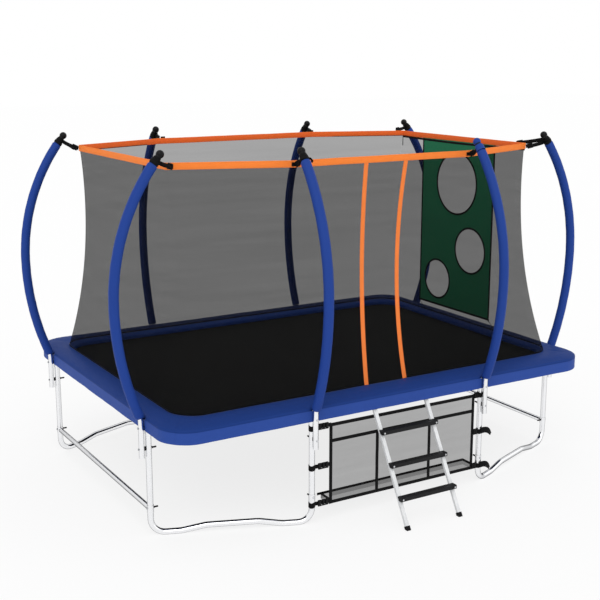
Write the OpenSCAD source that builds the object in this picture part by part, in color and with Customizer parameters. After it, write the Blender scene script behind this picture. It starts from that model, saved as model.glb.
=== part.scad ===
// Rectangular garden trampoline with bowed net poles, safety net, ladder and storage bag.
// The ground is at z = 0, +X runs along the bed and the ladder stands on the -Y side.

/* [Bed] */
// Length over the safety pad
bed_l = 3670; // [3450:10:3900]
// Width over the safety pad
bed_w = 2760; // [2600:10:2960]
// Radius of the pad's outer corners
bed_r = 225; // [205:5:245]
// Radius of the pad's inner corners
pad_inner_r = 170; // [120:5:190]
// Width of the pad over the two short rails
pad_end_w = 201; // [190:1:215]
// Width of the pad over the two long rails
pad_side_w = 263; // [245:1:280]
// Thickness of the pad at its crown
pad_t = 34; // [26:1:40]
// Thickness of the pad at its edges
pad_edge_t = 15; // [8:1:18]
// Drop of the skirt below the pad
skirt_h = 81; // [60:1:95]
// Thickness of the skirt
skirt_t = 3.5; // [2:0.5:3.5]
// Thickness of the jumping mat
mat_t = 5; // [3:0.5:8]
// Gap between the mat and the rail that the springs span
spring_gap = 132; // [120:1:145]
// Nominal distance between springs
spring_pitch = 115; // [105:1:130]
// Radius of a spring's coil
spring_r = 10; // [8:0.5:12]
// Radius of a spring's wire
spring_wire_r = 1.8; // [1.4:0.1:2.2]

/* [Frame] */
// Height of the rail's axis above the ground
rail_z = 832; // [800:1:880]
// Distance from the pad's edge in to the rail's axis
rail_inset = 29; // [29:1:34]
// Radius of the rail's tube
rail_r = 19; // [17:0.5:20]
// Radius of a leg's tube
leg_r = 21; // [19:0.5:21]
// Wall of every steel tube
wall = 1.5; // [1.2:0.1:2]
// Wall of the sockets and collars around the legs
socket_wall = 1.8; // [1.5:0.1:2]
// Drop of a rail's leg socket below the rail
socket_l = 70; // [60:1:90]
// Distance of the short sides' legs from the long sides
short_leg_in = 438; // [400:1:500]
// Distance of the long sides' legs from the short sides
long_leg_in = 1081; // [1035:1:1135]
// Height of a base's bent-up end
base_top_z = 190; // [185:1:220]
// Height of a base's collar
collar_l = 55; // [50:1:70]
// Radius of a base's foot bends
foot_bend_r = 100; // [80:1:110]
// Rise of a base's middle above its feet
base_rise = 30; // [15:1:45]
// Radius of a brace's tube
brace_r = 18; // [15:0.5:20]

/* [Poles] */
// Distance between the axes of a leg and its pole
pole_gap = 50; // [50:1:56]
// Radius of a pole's tube
pole_r = 19; // [17:0.5:19]
// Height of a pole's lower end
pole_z0 = 575; // [540:1:600]
// Height at which a pole bows out the most
bow_z = 1650; // [1550:10:1750]
// Distance that a pole bows out
bow_out = 160; // [120:1:190]
// Height of a pole's tip
tip_z = 2618; // [2560:1:2680]
// Distance that a pole's tip leans in
tip_in = 195; // [150:1:230]
// Radius of the foam sleeve
foam_r = 36; // [30:1:38]
// Length of bare pole between the foam and the tip
foam_stop = 80; // [70:1:95]
// Radius of the ball on a pole's cap
ball_r = 28; // [25:1:32]
// Radius of the bolts
bolt_r = 4; // [3:0.5:5]
// Reach of a bolt's capped end past a leg's axis
bolt_reach = 56; // [50:1:75]

/* [Net] */
// Distance of the net's top ring from the short sides
ring_in_x = 260; // [235:5:335]
// Distance of the ring's middle from the long sides
ring_in_y = 255; // [230:5:300]
// Distance of the ring's end corners from the short sides' poles, along the side
ring_end_gap = 112; // [80:1:160]
// Distance of the ring's bends past the long sides' poles
ring_bend_out = 11; // [0:1:60]
// Drop from a pole's tip to the ring band's lower edge
band_drop = 111; // [90:1:150]
// Height of the band
band_h = 43; // [35:1:55]
// Thickness of the band
band_t = 4; // [3:0.5:5]
// Distance of the net's foot from the short sides
foot_in_x = 160; // [135:1:180]
// Distance of the net's foot from the long sides
foot_in_y = 215; // [195:1:240]
// Radius of the net's foot corners
foot_r = 200; // [150:5:230]
// Pull of the net towards the middle at half height
neck = 67; // [40:1:85]
// Pull of the net's short walls at half height
neck_short = 15; // [5:1:20]
// Thickness of the net
net_t = 2; // [1.5:0.5:2]
// Half width of the doorway, to the middle of its tapes
door_x = 172; // [150:1:250]
// Width of the doorway's tapes
tape_w = 30; // [20:1:40]

/* [Target] */
// Width of the target panel
panel_w = 990; // [800:10:1100]
// Shift of the panel towards the back
panel_shift = 22; // [-60:2:60]
// Height of the panel's lower edge
panel_z = 1000; // [950:10:1050]
// Radius of the upper hole
hole_a_r = 262; // [200:1:290]
// Radius of the middle hole
hole_b_r = 190; // [150:1:210]
// Radius of the lower hole
hole_c_r = 168; // [120:1:180]
// Width of the panel's binding
binding_w = 14; // [10:1:20]

/* [Ladder] */
// Distance of the ladder's feet from the bed's long side
ladder_out = 405; // [320:5:470]
// Width of a ladder rail
ladder_w = 28; // [25:1:32]
// Depth of a ladder rail
ladder_d = 20; // [16:1:22]
// Length of a step
step_l = 492; // [480:1:530]
// Depth of a step
step_d = 45; // [35:1:70]
// Thickness of a step
step_t = 28; // [20:1:32]
// Height of the lowest step
step_z = 200; // [150:1:230]
// Rise from step to step
step_rise = 210; // [180:1:215]

/* [Storage bag] */
// Distance of the bag from the left leg's axis
bag_gap_left = 141; // [110:1:190]
// Distance of the bag from the right leg's axis
bag_gap_right = 59; // [50:1:110]
// Height of the bag's floor
bag_z0 = 120; // [110:1:135]
// Height of the bag's upper edge
bag_z1 = 725; // [690:1:730]
// Depth of the bag
bag_d = 112; // [80:1:115]
// Width of the bag's webbing
webbing_w = 26; // [20:1:35]

/* [Hidden] */
$fn = 48;
clear = 0.3;
half_l = bed_l / 2;
half_w = bed_w / 2;
rail_x = half_l - rail_inset;
rail_y = half_w - rail_inset;
rail_cr = bed_r - rail_inset;
short_leg_y = half_w - short_leg_in;
long_leg_x = half_l - long_leg_in;
pad_z = rail_z + rail_r + clear;
pad_top = pad_z + pad_t;
skirt_z1 = pad_z - clear;
skirt_z0 = skirt_z1 - skirt_h;
mitre = 44.9;
socket_r = leg_r + clear + socket_wall;
socket_z = rail_z - rail_r - socket_l;
collar_z = base_top_z - collar_l / 2 + 8;
upright_z0 = base_top_z + clear;
upright_z1 = rail_z - rail_r - 7;
base_bolt_z = base_top_z + 15;
pole_bolt_zs = [pole_z0 + 65, socket_z + 47];

// a pole's profile: straight foot, short bend, long lower arc and upper arc
bend_r = 80;
low_r = (pow(bow_z - pad_z, 2) + pow(bow_out, 2)) / (2 * bow_out);
bend_z = bow_z - sqrt(bow_out * (2 * (low_r + bend_r) - bow_out));
bend_a = asin((bow_z - bend_z) / (low_r + bend_r));
top_run = bow_out + tip_in;
top_r = (pow(tip_z - bow_z, 2) + pow(top_run, 2)) / (2 * top_run);
tip_a = asin((tip_z - bow_z) / top_r);
low_c = pole_gap + bow_out - low_r;
top_c = pole_gap + bow_out - top_r;
foam_a = tip_a - degrees_of(foam_stop, top_r);
tube_a = tip_a - degrees_of(ball_r / 2, top_r);
joint_a = -bend_a + degrees_of(90, low_r);
spigot_a = degrees_of(60, low_r);
neck_r = pole_r + 3;
neck_a0 = foam_a + degrees_of(2, top_r);
neck_a = (neck_a0 + tip_a - degrees_of(ball_r, top_r)) / 2;

mat_x = rail_x - rail_r - spring_gap;
mat_y = rail_y - rail_r - spring_gap;
mat_r = rail_cr - rail_r - spring_gap;
ring_wire = 2;
loop_r = 6;
spring_x0 = 2 * (loop_r + ring_wire) + 2 * clear;
straight_x = 2 * (rail_x - rail_cr);
straight_y = 2 * (rail_y - rail_cr);
springs_x = 2 * round(straight_x / spring_pitch / 2);
springs_y = 2 * round(straight_y / spring_pitch / 2);

flap_half = 330;

ring_x = half_l - ring_in_x;
ring_y = half_w - ring_in_y;
ring_end_y = short_leg_y - ring_end_gap;
ring_kink_x = long_leg_x + ring_bend_out;
foot_x = half_l - foot_in_x;
foot_y = half_w - foot_in_y;
band_z = tip_z - band_drop;
net_z = pad_top + clear;
net_cells = 12;
corner_r = 25;
door_edge = door_x - tape_w / 2;
door_drop = clear;
door_gap = 6;

panel_t = 3;
panel_x = ring_x - band_t / 2 - clear - panel_t;
panel_lap = 3;
panel_top = band_z + panel_lap;
bag_x0 = bag_gap_left - long_leg_x;
bag_x1 = long_leg_x - bag_gap_right;

pitch_x = straight_x / springs_x;
ladder_y = 2 * pitch_x;
ladder_top_z = rail_z - 57;
ladder_foot = half_w + ladder_out;
ladder_lean = atan((ladder_foot - rail_y) / (rail_z - 62));
hook_t = 3;
hook_w = 25;
hook_r = rail_r + clear;
hook_a = 30;
hook_drop = 50;
sleeve = 3;
// along a ladder rail: its start inside the rubber foot, and the foot's top
ladder_from = 10;
boot_top = 27;

front_reach = ladder_foot + (ladder_d / 2 + sleeve) / cos(ladder_lean);
back_reach = half_w - rail_inset + pole_gap + bow_out + foam_r;
y_shift = (front_reach - back_reach) / 2;

function degrees_of(arc, r) = arc / r * 180 / PI;
function mix(a, b, t) = a + (b - a) * t;
function unit(v) = v / norm(v);
function reversed(v) = [for (i = [len(v) - 1:-1:0]) v[i]];

// the whole bed stands with its outline centred on the origin
module at_bed() {
  translate([0, y_shift, 0]) children();
}

// one side of the bed: +X points outwards, 0 is the right side and 270 the front
module at_side(a) {
  at_bed() rotate([0, 0, a]) children();
}

function is_short(a) = a % 180 == 0;
function side_rail(a) = is_short(a) ? rail_x : rail_y;
function side_leg(a) = is_short(a) ? short_leg_y : long_leg_x;

// one leg of a side: the leg's axis is the Z axis and +X points outwards
module at_leg(a, s) {
  at_side(a) translate([side_rail(a), s * side_leg(a), 0]) children();
}

module at_legs(sides = [0, 90, 180, 270]) {
  for (a = sides, s = [-1, 1]) at_leg(a, s) children();
}

module along(p, q) {
  d = q - p;
  translate(p)
    rotate([0, acos(d.z / norm(d)), atan2(d.y, d.x)])
      children();
}

module rod(p, q, r) {
  along(p, q) cylinder(r = r, h = norm(q - p));
}

// part of a ring in the XZ plane, from angle a to angle b
module arc_rod(c, big_r, a, b, r) {
  translate(c)
    rotate([90, 0, 0])
      rotate_extrude(start = a, angle = b - a)
        translate([big_r, 0]) circle(r);
}

// straight stretches run this far into a bend, whose tube is a hair thicker
lap = 1;
swell = 0.05;
// the same where two bends of a pole meet
pole_lap = 2;
pole_swell = 0.2;

// a rod along corner points in the XZ plane, with a bend of radius bend at each inner corner
module bent_rod(p, bend, r) {
  last = len(p) - 1;
  dir = [for (i = [0:last - 1]) unit(p[i + 1] - p[i])];
  turn = [for (i = [0:last])
    i == 0 || i == last ? 0
      : atan2(dir[i - 1].x * dir[i].y - dir[i - 1].y * dir[i].x, dir[i - 1] * dir[i])];
  cut = [for (i = [0:last]) i == 0 || i == last ? 0 : bend[i - 1] * tan(abs(turn[i]) / 2)];
  for (i = [0:last - 1]) {
    a = p[i] + dir[i] * (cut[i] - (i == 0 ? 0 : lap));
    b = p[i + 1] - dir[i] * (cut[i + 1] - (i == last - 1 ? 0 : lap));
    rod([a.x, 0, a.y], [b.x, 0, b.y], r);
  }
  for (i = [1:last - 1]) {
    s = sign(turn[i]);
    start = p[i] - dir[i - 1] * cut[i];
    c = start + bend[i - 1] * s * [-dir[i - 1].y, dir[i - 1].x];
    a = atan2(start.y - c.y, start.x - c.x);
    arc_rod([c.x, 0, c.y], bend[i - 1], min(a, a + turn[i]), max(a, a + turn[i]), r + swell);
  }
}

// a skin through closed rings of points; each ring runs up one face and down the other
module loft(rings) {
  n = len(rings);
  q = len(rings[0]);
  last = (n - 1) * q;
  polyhedron(
    points = [for (ring = rings) each ring],
    faces = concat(
      [for (k = [0:n - 2], j = [0:q - 1]) [k * q + j, k * q + (j + 1) % q, (k + 1) * q + j]],
      [for (k = [0:n - 2], j = [0:q - 1])
        [k * q + (j + 1) % q, (k + 1) * q + (j + 1) % q, (k + 1) * q + j]],
      [for (j = [0:q / 2 - 2]) [j, q - 1 - j, j + 1]],
      [for (j = [0:q / 2 - 2]) [j + 1, q - 1 - j, q - 2 - j]],
      [for (j = [0:q / 2 - 2]) [last + j, last + j + 1, last + q - 1 - j]],
      [for (j = [0:q / 2 - 2]) [last + j + 1, last + q - 2 - j, last + q - 1 - j]]
    )
  );
}

// bolt positions along a leg, as cylinders along X
module bolt_holes(zs, x0, x1) {
  for (z = zs) rod([x0, 0, z], [x1, 0, z], bolt_r + clear);
}

// Frame rails and legs

module sockets(d, off, extra, z0, z1) {
  for (s = [-1, 1])
    translate([d, s * off, z0]) cylinder(r = extra, h = z1 - z0);
}

module socket_holes(a) {
  for (s = [-1, 1])
    translate([side_rail(a), s * side_leg(a), 0])
      bolt_holes([pole_bolt_zs[1]], -2 * leg_r, 2 * leg_r);
}

module rail_long(a) {
  half = rail_x - rail_cr;
  color("silver") at_side(a) difference() {
    union() {
      rod([rail_y, -half, rail_z], [rail_y, half, rail_z], rail_r);
      sockets(rail_y, long_leg_x, socket_r, socket_z, rail_z - 6);
    }
    rod([rail_y, -half - 1, rail_z], [rail_y, half + 1, rail_z], rail_r - wall);
    sockets(rail_y, long_leg_x, leg_r + clear, socket_z - 1, upright_z1 + 3);
    socket_holes(a);
  }
}

module corner_arc(s, r, a0, a1) {
  translate([rail_x - rail_cr, s * (rail_y - rail_cr), rail_z])
    rotate_extrude(start = s * a0 + (s < 0 ? -(a1 - a0) : 0), angle = a1 - a0)
      translate([rail_cr, 0]) circle(r);
}

module rail_short(a) {
  half = rail_y - rail_cr;
  x = rail_x - rail_cr;
  spigot_r = rail_r - wall - clear;
  color("silver") at_side(a) difference() {
    union() {
      rod([rail_x, -half, rail_z], [rail_x, half, rail_z], rail_r);
      for (s = [-1, 1]) {
        corner_arc(s, rail_r, 0, 90);
        rod([x + 2, s * rail_y, rail_z], [x - 60, s * rail_y, rail_z], spigot_r);
      }
      sockets(rail_x, short_leg_y, socket_r, socket_z, rail_z - 6);
    }
    rod([rail_x, -half, rail_z], [rail_x, half, rail_z], rail_r - wall);
    for (s = [-1, 1]) {
      corner_arc(s, rail_r - wall, 0, 86);
      rod([x + 16, s * rail_y, rail_z], [x - 61, s * rail_y, rail_z], spigot_r - wall);
    }
    sockets(rail_x, short_leg_y, leg_r + clear, socket_z - 1, upright_z1 + 3);
    socket_holes(a);
  }
}

// the base under the right back corner; the other three are its mirror images
module leg_base() {
  a = [rail_x, short_leg_y];
  b = [long_leg_x, rail_y];
  span = norm(b - a);
  ground = leg_r;
  high = leg_r + base_rise;
  path = [
    [0, base_top_z], [0, ground], [foot_bend_r + 110, ground], [foot_bend_r + 280, high],
    [span - foot_bend_r - 280, high], [span - foot_bend_r - 110, ground], [span, ground],
    [span, base_top_z]
  ];
  bore = [for (i = [0:7]) i == 0 || i == 7 ? path[i] + [0, 1] : path[i]];
  bends = [foot_bend_r, 250, 250, 250, 250, foot_bend_r];
  difference() {
    union() {
      translate([a.x, a.y, 0])
        rotate([0, 0, atan2(b.y - a.y, b.x - a.x)])
          bent_rod(path, bends, leg_r);
      for (p = [a, b]) translate([p.x, p.y, collar_z]) cylinder(r = socket_r, h = collar_l);
    }
    translate([a.x, a.y, 0])
      rotate([0, 0, atan2(b.y - a.y, b.x - a.x)])
        bent_rod(bore, bends, leg_r - wall);
    for (p = [a, b])
      translate([p.x, p.y, base_top_z]) cylinder(r = leg_r + clear, h = collar_l);
    translate([a.x, a.y, 0]) bolt_holes([base_bolt_z], -2 * leg_r, 2 * leg_r);
    translate([b.x, b.y, 0]) rotate([0, 0, 90]) bolt_holes([base_bolt_z], -2 * leg_r, 2 * leg_r);
  }
}

module leg_base_back_right() {
  color("silver") at_bed() leg_base();
}

module leg_base_back_left() {
  color("silver") at_bed() mirror([1, 0, 0]) leg_base();
}

module leg_base_front_right() {
  color("silver") at_bed() mirror([0, 1, 0]) leg_base();
}

module leg_base_front_left() {
  color("silver") at_bed() mirror([1, 0, 0]) mirror([0, 1, 0]) leg_base();
}

module leg_uprights() {
  color("silver") at_legs() difference() {
    rod([0, 0, upright_z0], [0, 0, upright_z1], leg_r);
    rod([0, 0, upright_z0 - 1], [0, 0, upright_z1 + 1], leg_r - wall);
    bolt_holes(concat([base_bolt_z], pole_bolt_zs), -2 * leg_r, 2 * leg_r);
  }
}

module braces() {
  reach = short_leg_y;
  z = collar_z + collar_l / 2;
  color("silver") for (a = [0, 180]) at_side(a) difference() {
    rod([rail_x, -reach, z], [rail_x, reach, z], brace_r);
    rod([rail_x, -reach, z], [rail_x, reach, z], brace_r - wall);
    sockets(rail_x, short_leg_y, socket_r + clear, collar_z - 50, collar_z + collar_l + 50);
  }
}

// Net poles

module pole_foot(r, z0) {
  rod([pole_gap, 0, z0], [pole_gap, 0, bend_z + pole_lap], r);
  arc_rod([pole_gap + bend_r, 0, bend_z], bend_r, 180 - bend_a, 180, r + pole_swell);
}

module low_arc(a, b, r) {
  arc_rod([low_c, 0, bow_z], low_r, a, b, r);
}

module top_arc(a, b, r) {
  arc_rod([top_c, 0, bow_z], top_r, a, b, r);
}

module pole_lowers() {
  color("silver") at_legs() difference() {
    union() {
      pole_foot(pole_r, pole_z0);
      low_arc(-bend_a - degrees_of(pole_lap, low_r), joint_a, pole_r);
    }
    pole_foot(pole_r - wall, pole_z0 - 1);
    low_arc(-bend_a - degrees_of(pole_lap, low_r), joint_a + 0.1, pole_r - wall);
    bolt_holes(pole_bolt_zs, 0, 2 * pole_gap);
  }
}

module pole_upper() {
  spigot_r = pole_r - wall - clear;
  difference() {
    union() {
      low_arc(joint_a - spigot_a, joint_a, spigot_r);
      low_arc(joint_a, 0, pole_r);
      top_arc(0, tube_a, pole_r);
    }
    low_arc(joint_a - spigot_a - 0.1, joint_a + 0.2, spigot_r - wall);
    low_arc(joint_a + 0.2, 0, pole_r - wall);
    top_arc(0, tube_a + 0.1, pole_r - wall);
  }
}

module foam_sleeve() {
  difference() {
    union() {
      low_arc(-bend_a, 0, foam_r);
      top_arc(0, foam_a, foam_r);
    }
    low_arc(-bend_a - 0.1, 0, pole_r + clear);
    top_arc(0, foam_a + 0.1, pole_r + clear);
  }
}

module pole_uppers(a) {
  color("silver") at_legs([a]) pole_upper();
}

module foam(a) {
  color("royalblue") at_legs([a]) foam_sleeve();
}

// a pole's middle line at angle a of its upper arc: +Z runs on along the tube
function pole_point(a) = [top_c + top_r * cos(a), 0, bow_z + top_r * sin(a)];

module at_pole(a) {
  translate(pole_point(a)) rotate([0, -a, 0]) children();
}

module pole_caps() {
  color("black") at_legs() difference() {
    union() {
      at_pole(tip_a) sphere(ball_r);
      top_arc(neck_a0, tip_a, neck_r);
    }
    top_arc(foam_a, tube_a + degrees_of(1, top_r), pole_r + clear);
  }
}

// where a pole's strap starts, where it meets the ring band, and the band's outer face there
strap_root = pole_point(neck_a);
strap_w = 24;
strap_t = 2.4;
function strap_end(a, s) = is_short(a)
  ? [ring_x - rail_x + band_t + 2, s * (ring_end_y - short_leg_y), band_z + band_h / 2]
  : [ring_y - rail_y - band_t / 2, 0, band_z + band_h / 2];
function band_face(a) = (is_short(a) ? ring_x - rail_x : ring_y - rail_y) + band_t / 2 + clear;

module strap_bar(a, s, from, to, w, t) {
  root = strap_root;
  end = strap_end(a, s);
  len_total = norm(end - root);
  along(root, end)
    translate([-w / 2, -t / 2, from])
      cube([w, t, len_total - to - from]);
}

module cap_straps() {
  loop_in = neck_r + clear;
  color("black") for (a = [0, 90, 180, 270], s = [-1, 1]) at_leg(a, s) {
    difference() {
      union() {
        at_pole(neck_a) translate([0, 0, -strap_w / 2]) cylinder(r = loop_in + strap_t, h = strap_w);
        strap_bar(a, s, loop_in, 0, strap_w - 1, strap_t);
      }
      at_pole(neck_a) translate([0, 0, -2 * strap_w]) cylinder(r = loop_in, h = 4 * strap_w);
      translate([band_face(a) - 60, -60, band_z - 30]) cube([60, 120, band_h + 60]);
    }
  }
}

module strap_buckles() {
  color("black") for (a = [0, 90, 180, 270], s = [-1, 1]) at_leg(a, s) difference() {
    strap_bar(a, s, pole_r + 20, strap_w, strap_w + 8, 9);
    strap_bar(a, s, 10, 0, strap_w + 2 * clear, strap_t + 2 * clear);
  }
}

module pole_spacers() {
  x0 = leg_r * 0.85;
  x1 = pole_gap - pole_r * 0.85;
  color("dimgray") at_legs() for (z = pole_bolt_zs) difference() {
    translate([x0, -9, z - 12]) cube([x1 - x0, 18, 24]);
    rod([0, 0, z - 20], [0, 0, z + 20], (z > socket_z ? socket_r : leg_r) + clear);
    rod([pole_gap, 0, z - 20], [pole_gap, 0, z + 20], pole_r + clear);
    bolt_holes([z], 0, pole_gap);
  }
}

// a bolt from outside x1 to its capped end
module frame_bolt(x1, z) {
  head = bolt_r * 1.9;
  rod([x1 + clear, 0, z], [x1 + clear + 5, 0, z], head);
  rod([4 - bolt_reach, 0, z], [x1 + clear + 1, 0, z], bolt_r);
}

module frame_bolts() {
  color("silver") at_legs() {
    frame_bolt(socket_r, base_bolt_z);
    for (z = pole_bolt_zs) frame_bolt(pole_gap + pole_r, z);
  }
}

module cap_nuts() {
  x0 = -socket_r - clear;
  color("black") at_legs() for (z = concat([base_bolt_z], pole_bolt_zs)) difference() {
    union() {
      rod([-bolt_reach, 0, z], [x0, 0, z], bolt_r + 2);
      rod([x0 - 5, 0, z], [x0, 0, z], 2 * bolt_r);
    }
    rod([3 - bolt_reach, 0, z], [x0 + 1, 0, z], bolt_r + clear);
  }
}

// Jumping bed

module rounded_slab(x, y, r, h) {
  linear_extrude(h) union() {
    square([2 * (x - r), 2 * y], center = true);
    square([2 * x, 2 * (y - r)], center = true);
    for (sx = [-1, 1], sy = [-1, 1]) translate([sx * (x - r), sy * (y - r)]) circle(r);
  }
}

// the mat's edge carries a band of webbing, set in by hem
module mat() {
  border = 45;
  border_t = 1.5;
  hem = 4;
  color("#181816") at_bed() translate([0, 0, rail_z - mat_t / 2]) union() {
    rounded_slab(mat_x, mat_y, mat_r, mat_t);
    translate([0, 0, mat_t - 1]) difference() {
      rounded_slab(mat_x - hem, mat_y - hem, mat_r - hem, border_t + 1);
      translate([0, 0, -1])
        linear_extrude(border_t + 3)
          square([2 * (mat_x - border), 2 * (mat_y - border)], center = true);
    }
  }
}

// every spring's place: the origin is on the mat's edge and +X points at the rail
module at_springs() {
  for (a = [0:90:270], i = [1:is_short(a) ? springs_y : springs_x]) {
    n = is_short(a) ? springs_y : springs_x;
    run = is_short(a) ? straight_y : straight_x;
    at_side(a)
      translate([is_short(a) ? mat_x : mat_y, run * ((i - 0.5) / n - 0.5), rail_z]) children();
  }
  for (a = [0:90:270], t = [30, 60]) at_bed()
    translate([
      (a == 0 || a == 270 ? 1 : -1) * (rail_x - rail_cr),
      (a < 180 ? 1 : -1) * (rail_y - rail_cr), rail_z
    ])
      rotate([0, 0, a + t]) translate([mat_r, 0, 0]) children();
}

module mat_rings() {
  color("silver") at_springs()
    translate([loop_r + ring_wire + clear, 0, -ring_wire / 2])
      linear_extrude(ring_wire) difference() {
        circle(loop_r + ring_wire, $fn = 24);
        circle(loop_r, $fn = 24);
      }
}

// each spring's coil is a closed sleeve round its drawn wire
module springs() {
  x1 = spring_gap - clear;
  hook = 14;
  color("gainsboro") at_springs()
    translate([spring_x0, 0, 0])
      rotate([0, 90, 0])
        rotate_extrude($fn = 24) polygon([
          [0, 0], [spring_wire_r, 0], [spring_wire_r, hook], [spring_r, hook],
          [spring_r, x1 - spring_x0 - hook], [spring_r - 1.5, x1 - spring_x0 - hook],
          [spring_r - 1.5, hook + 2], [spring_wire_r, hook + 2],
          [spring_wire_r, x1 - spring_x0], [0, x1 - spring_x0]
        ]);
}

// Safety pad and skirt

// a point of a rounded outline, at angle a past the corner of side s
function rim(d, w, r, s, a) = [d - r + r * cos(a), s * (w - r) + r * sin(a)];

module pad_body(d, w, in_d, in_w) {
  steps = 5;
  cells = 12;
  stations = [for (s = [-1, 1], i = [0:steps])
    let (a = s < 0 ? mitre * (i / steps - 1) : mitre * i / steps)
      [rim(d, w, bed_r, s, a), rim(d - in_d, w - in_w, pad_inner_r, s, a)]];
  rings = [for (st = stations) concat(
    [for (i = [0:cells]) pad_point(st, i / cells, 1)],
    [for (i = [cells:-1:0]) pad_point(st, i / cells, 0)]
  )];
  loft(rings);
}

// side 1 is the crowned top and side 0 the flat underside
function pad_point(st, u, side) =
  let (t = (1 - cos(180 * u)) / 2, p = mix(st[0], st[1], t),
       crown = pad_edge_t + (pad_t - pad_edge_t) * (1 - pow(2 * t - 1, 4)))
    [p.x, p.y, pad_z + side * crown];

// recesses in the pad's edge for the foam sleeves that stand against it
module sleeve_notches(a) {
  for (s = [-1, 1])
    translate([side_rail(a) + pole_gap, s * side_leg(a), pad_z - 5])
      cylinder(r = foam_r + 1, h = pad_t + 10);
}

module pad_end(a) {
  color("#1e3570") at_side(a) difference() {
    pad_body(half_l, half_w, pad_end_w, pad_side_w);
    sleeve_notches(a);
  }
}

module pad_side(a) {
  color("#1e3570") at_side(a) difference() {
    pad_body(half_w, half_l, pad_side_w, pad_end_w);
    sleeve_notches(a);
    // room for the ladder's hooks over the rail
    if (a == 270) for (s = [-1, 1])
      rod([rail_y, s * ladder_y - hook_w / 2 - 2, rail_z],
          [rail_y, s * ladder_y + hook_w / 2 + 2, rail_z], hook_r + hook_t + 0.7);
  }
}

// the skirt's straight stretch from y0 to y1
module skirt_strip(d, y0, y1) {
  translate([d - skirt_t, y0, skirt_z0]) cube([skirt_t, y1 - y0, skirt_h]);
}

module skirt_corner(d, w, s) {
  translate([d - bed_r, s * (w - bed_r), skirt_z0])
    rotate_extrude(start = s < 0 ? -mitre : 0, angle = mitre)
      translate([bed_r - skirt_t, 0]) square([skirt_t, skirt_h]);
}

module spacer_slots(a) {
  z = pole_bolt_zs[1];
  for (s = [-1, 1])
    translate([side_rail(a), s * side_leg(a) - 10, z - 13]) cube([pole_gap, 20, 26]);
}

module skirt(a) {
  d = is_short(a) ? half_l : half_w;
  w = is_short(a) ? half_w : half_l;
  color("royalblue") at_side(a) difference() {
    union() {
      skirt_strip(d, -(w - bed_r), w - bed_r);
      for (s = [-1, 1]) skirt_corner(d, w, s);
    }
    spacer_slots(a);
    if (a == 270) translate([d - 20, -flap_half, skirt_z0 - 1]) cube([40, 2 * flap_half, skirt_h + 2]);
  }
}

module skirt_flap() {
  color("royalblue") at_side(270) skirt_strip(half_w, -flap_half, flap_half);
}

// Safety net. A station of the net is its top point, its foot point and its normal.

function arc_station(a) = [
  [ring_x - corner_r + corner_r * sin(a), ring_end_y - corner_r + corner_r * cos(a)],
  [foot_x - foot_r + foot_r * sin(a), foot_y - foot_r + foot_r * cos(a)],
  [sin(a), cos(a)]
];

// from x0 on the back wall to the middle of the corner
function long_stations(x0) = concat(
  [[[x0, ring_y], [x0, foot_y], [0, 1]]],
  [for (i = [0:5]) let (t = i / 6) [
    mix([ring_kink_x, ring_y], [ring_x - corner_r, ring_end_y], t),
    mix([ring_kink_x, foot_y], [foot_x - foot_r, foot_y], t), [0, 1]
  ]],
  [for (i = [0:3]) arc_station(i * 15)]
);

// from the middle of the corner to the middle of the short wall
function short_stations() = concat(
  [for (i = [3:6]) arc_station(i * 15)],
  [for (i = [1:8]) let (t = i / 8) [
    [ring_x, mix(ring_end_y - corner_r, 0, t)], [foot_x, mix(foot_y - foot_r, 0, t)], [1, 0]
  ]]
);

function flip_x(st) = [for (p = st) [-p.x, p.y]];
function flip_y(st) = [for (p = st) [p.x, -p.y]];

function short_neck(y) = mix(neck_short, neck, pow(min(1, abs(y) / ring_end_y), 6));

function net_point(st, z) =
  let (v = (z - net_z) / (band_z - net_z), p = mix(st[1], st[0], v), k = 4 * v * (1 - v))
    [p.x - short_neck(p.y) * k * p.x / (ring_x / 2 + foot_x / 2),
     p.y - neck * k * p.y / (ring_y / 2 + foot_y / 2), z];

// t0 and t1 are the sheet's depths behind the net's outer face
function net_ring(st, z0, z1, t0, t1) = concat(
  [for (i = [0:net_cells]) net_point(st, mix(z0, z1, i / net_cells)) - t0 * [st[2].x, st[2].y, 0]],
  [for (i = [net_cells:-1:0])
    net_point(st, mix(z0, z1, i / net_cells)) - t1 * [st[2].x, st[2].y, 0]]
);

module net_sheet(stations, z0 = net_z, z1 = band_z, t0 = 0, t1 = net_t) {
  loft([for (st = stations) net_ring(st, z0, z1, t0, t1)]);
}

module net_short() {
  half = short_stations();
  rest = reversed([for (st = half) flip_y(st)]);
  net_sheet(concat(half, [for (i = [1:len(rest) - 1]) rest[i]]));
}

module net_right() {
  color("dimgray", 0.6) at_bed() net_short();
}

module net_left() {
  color("dimgray", 0.6) at_bed() mirror([1, 0, 0]) net_short();
}

module net_back() {
  half = long_stations(0);
  rest = reversed([for (st = half) flip_x(st)]);
  color("dimgray", 0.6) at_bed()
    net_sheet(concat(rest, [for (i = [1:len(half) - 1]) half[i]]));
}

module net_front_right() {
  color("dimgray", 0.6) at_bed() mirror([0, 1, 0]) net_sheet(long_stations(door_x + tape_w / 2));
}

module net_front_left() {
  color("dimgray", 0.6) at_bed() mirror([1, 0, 0]) mirror([0, 1, 0])
    net_sheet(long_stations(door_x + tape_w / 2));
}

module front_strip(x0, x1, z0, z1, t0, t1) {
  at_bed() mirror([0, 1, 0]) net_sheet(
    [for (x = [x0, x1]) [[x, ring_y], [x, foot_y], [0, 1]]], z0, z1, t0, t1
  );
}

module door_tapes() {
  color("darkorange") for (s = [-1, 1]) {
    x = s * door_x;
    front_strip(x - tape_w / 2, x + tape_w / 2, net_z, band_z, -1, net_t + 1);
  }
}

module door() {
  color("gray", 0.6) front_strip(
    -door_edge + door_gap, door_edge - door_gap, net_z + door_drop, band_z - door_drop, 0, net_t
  );
}

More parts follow.
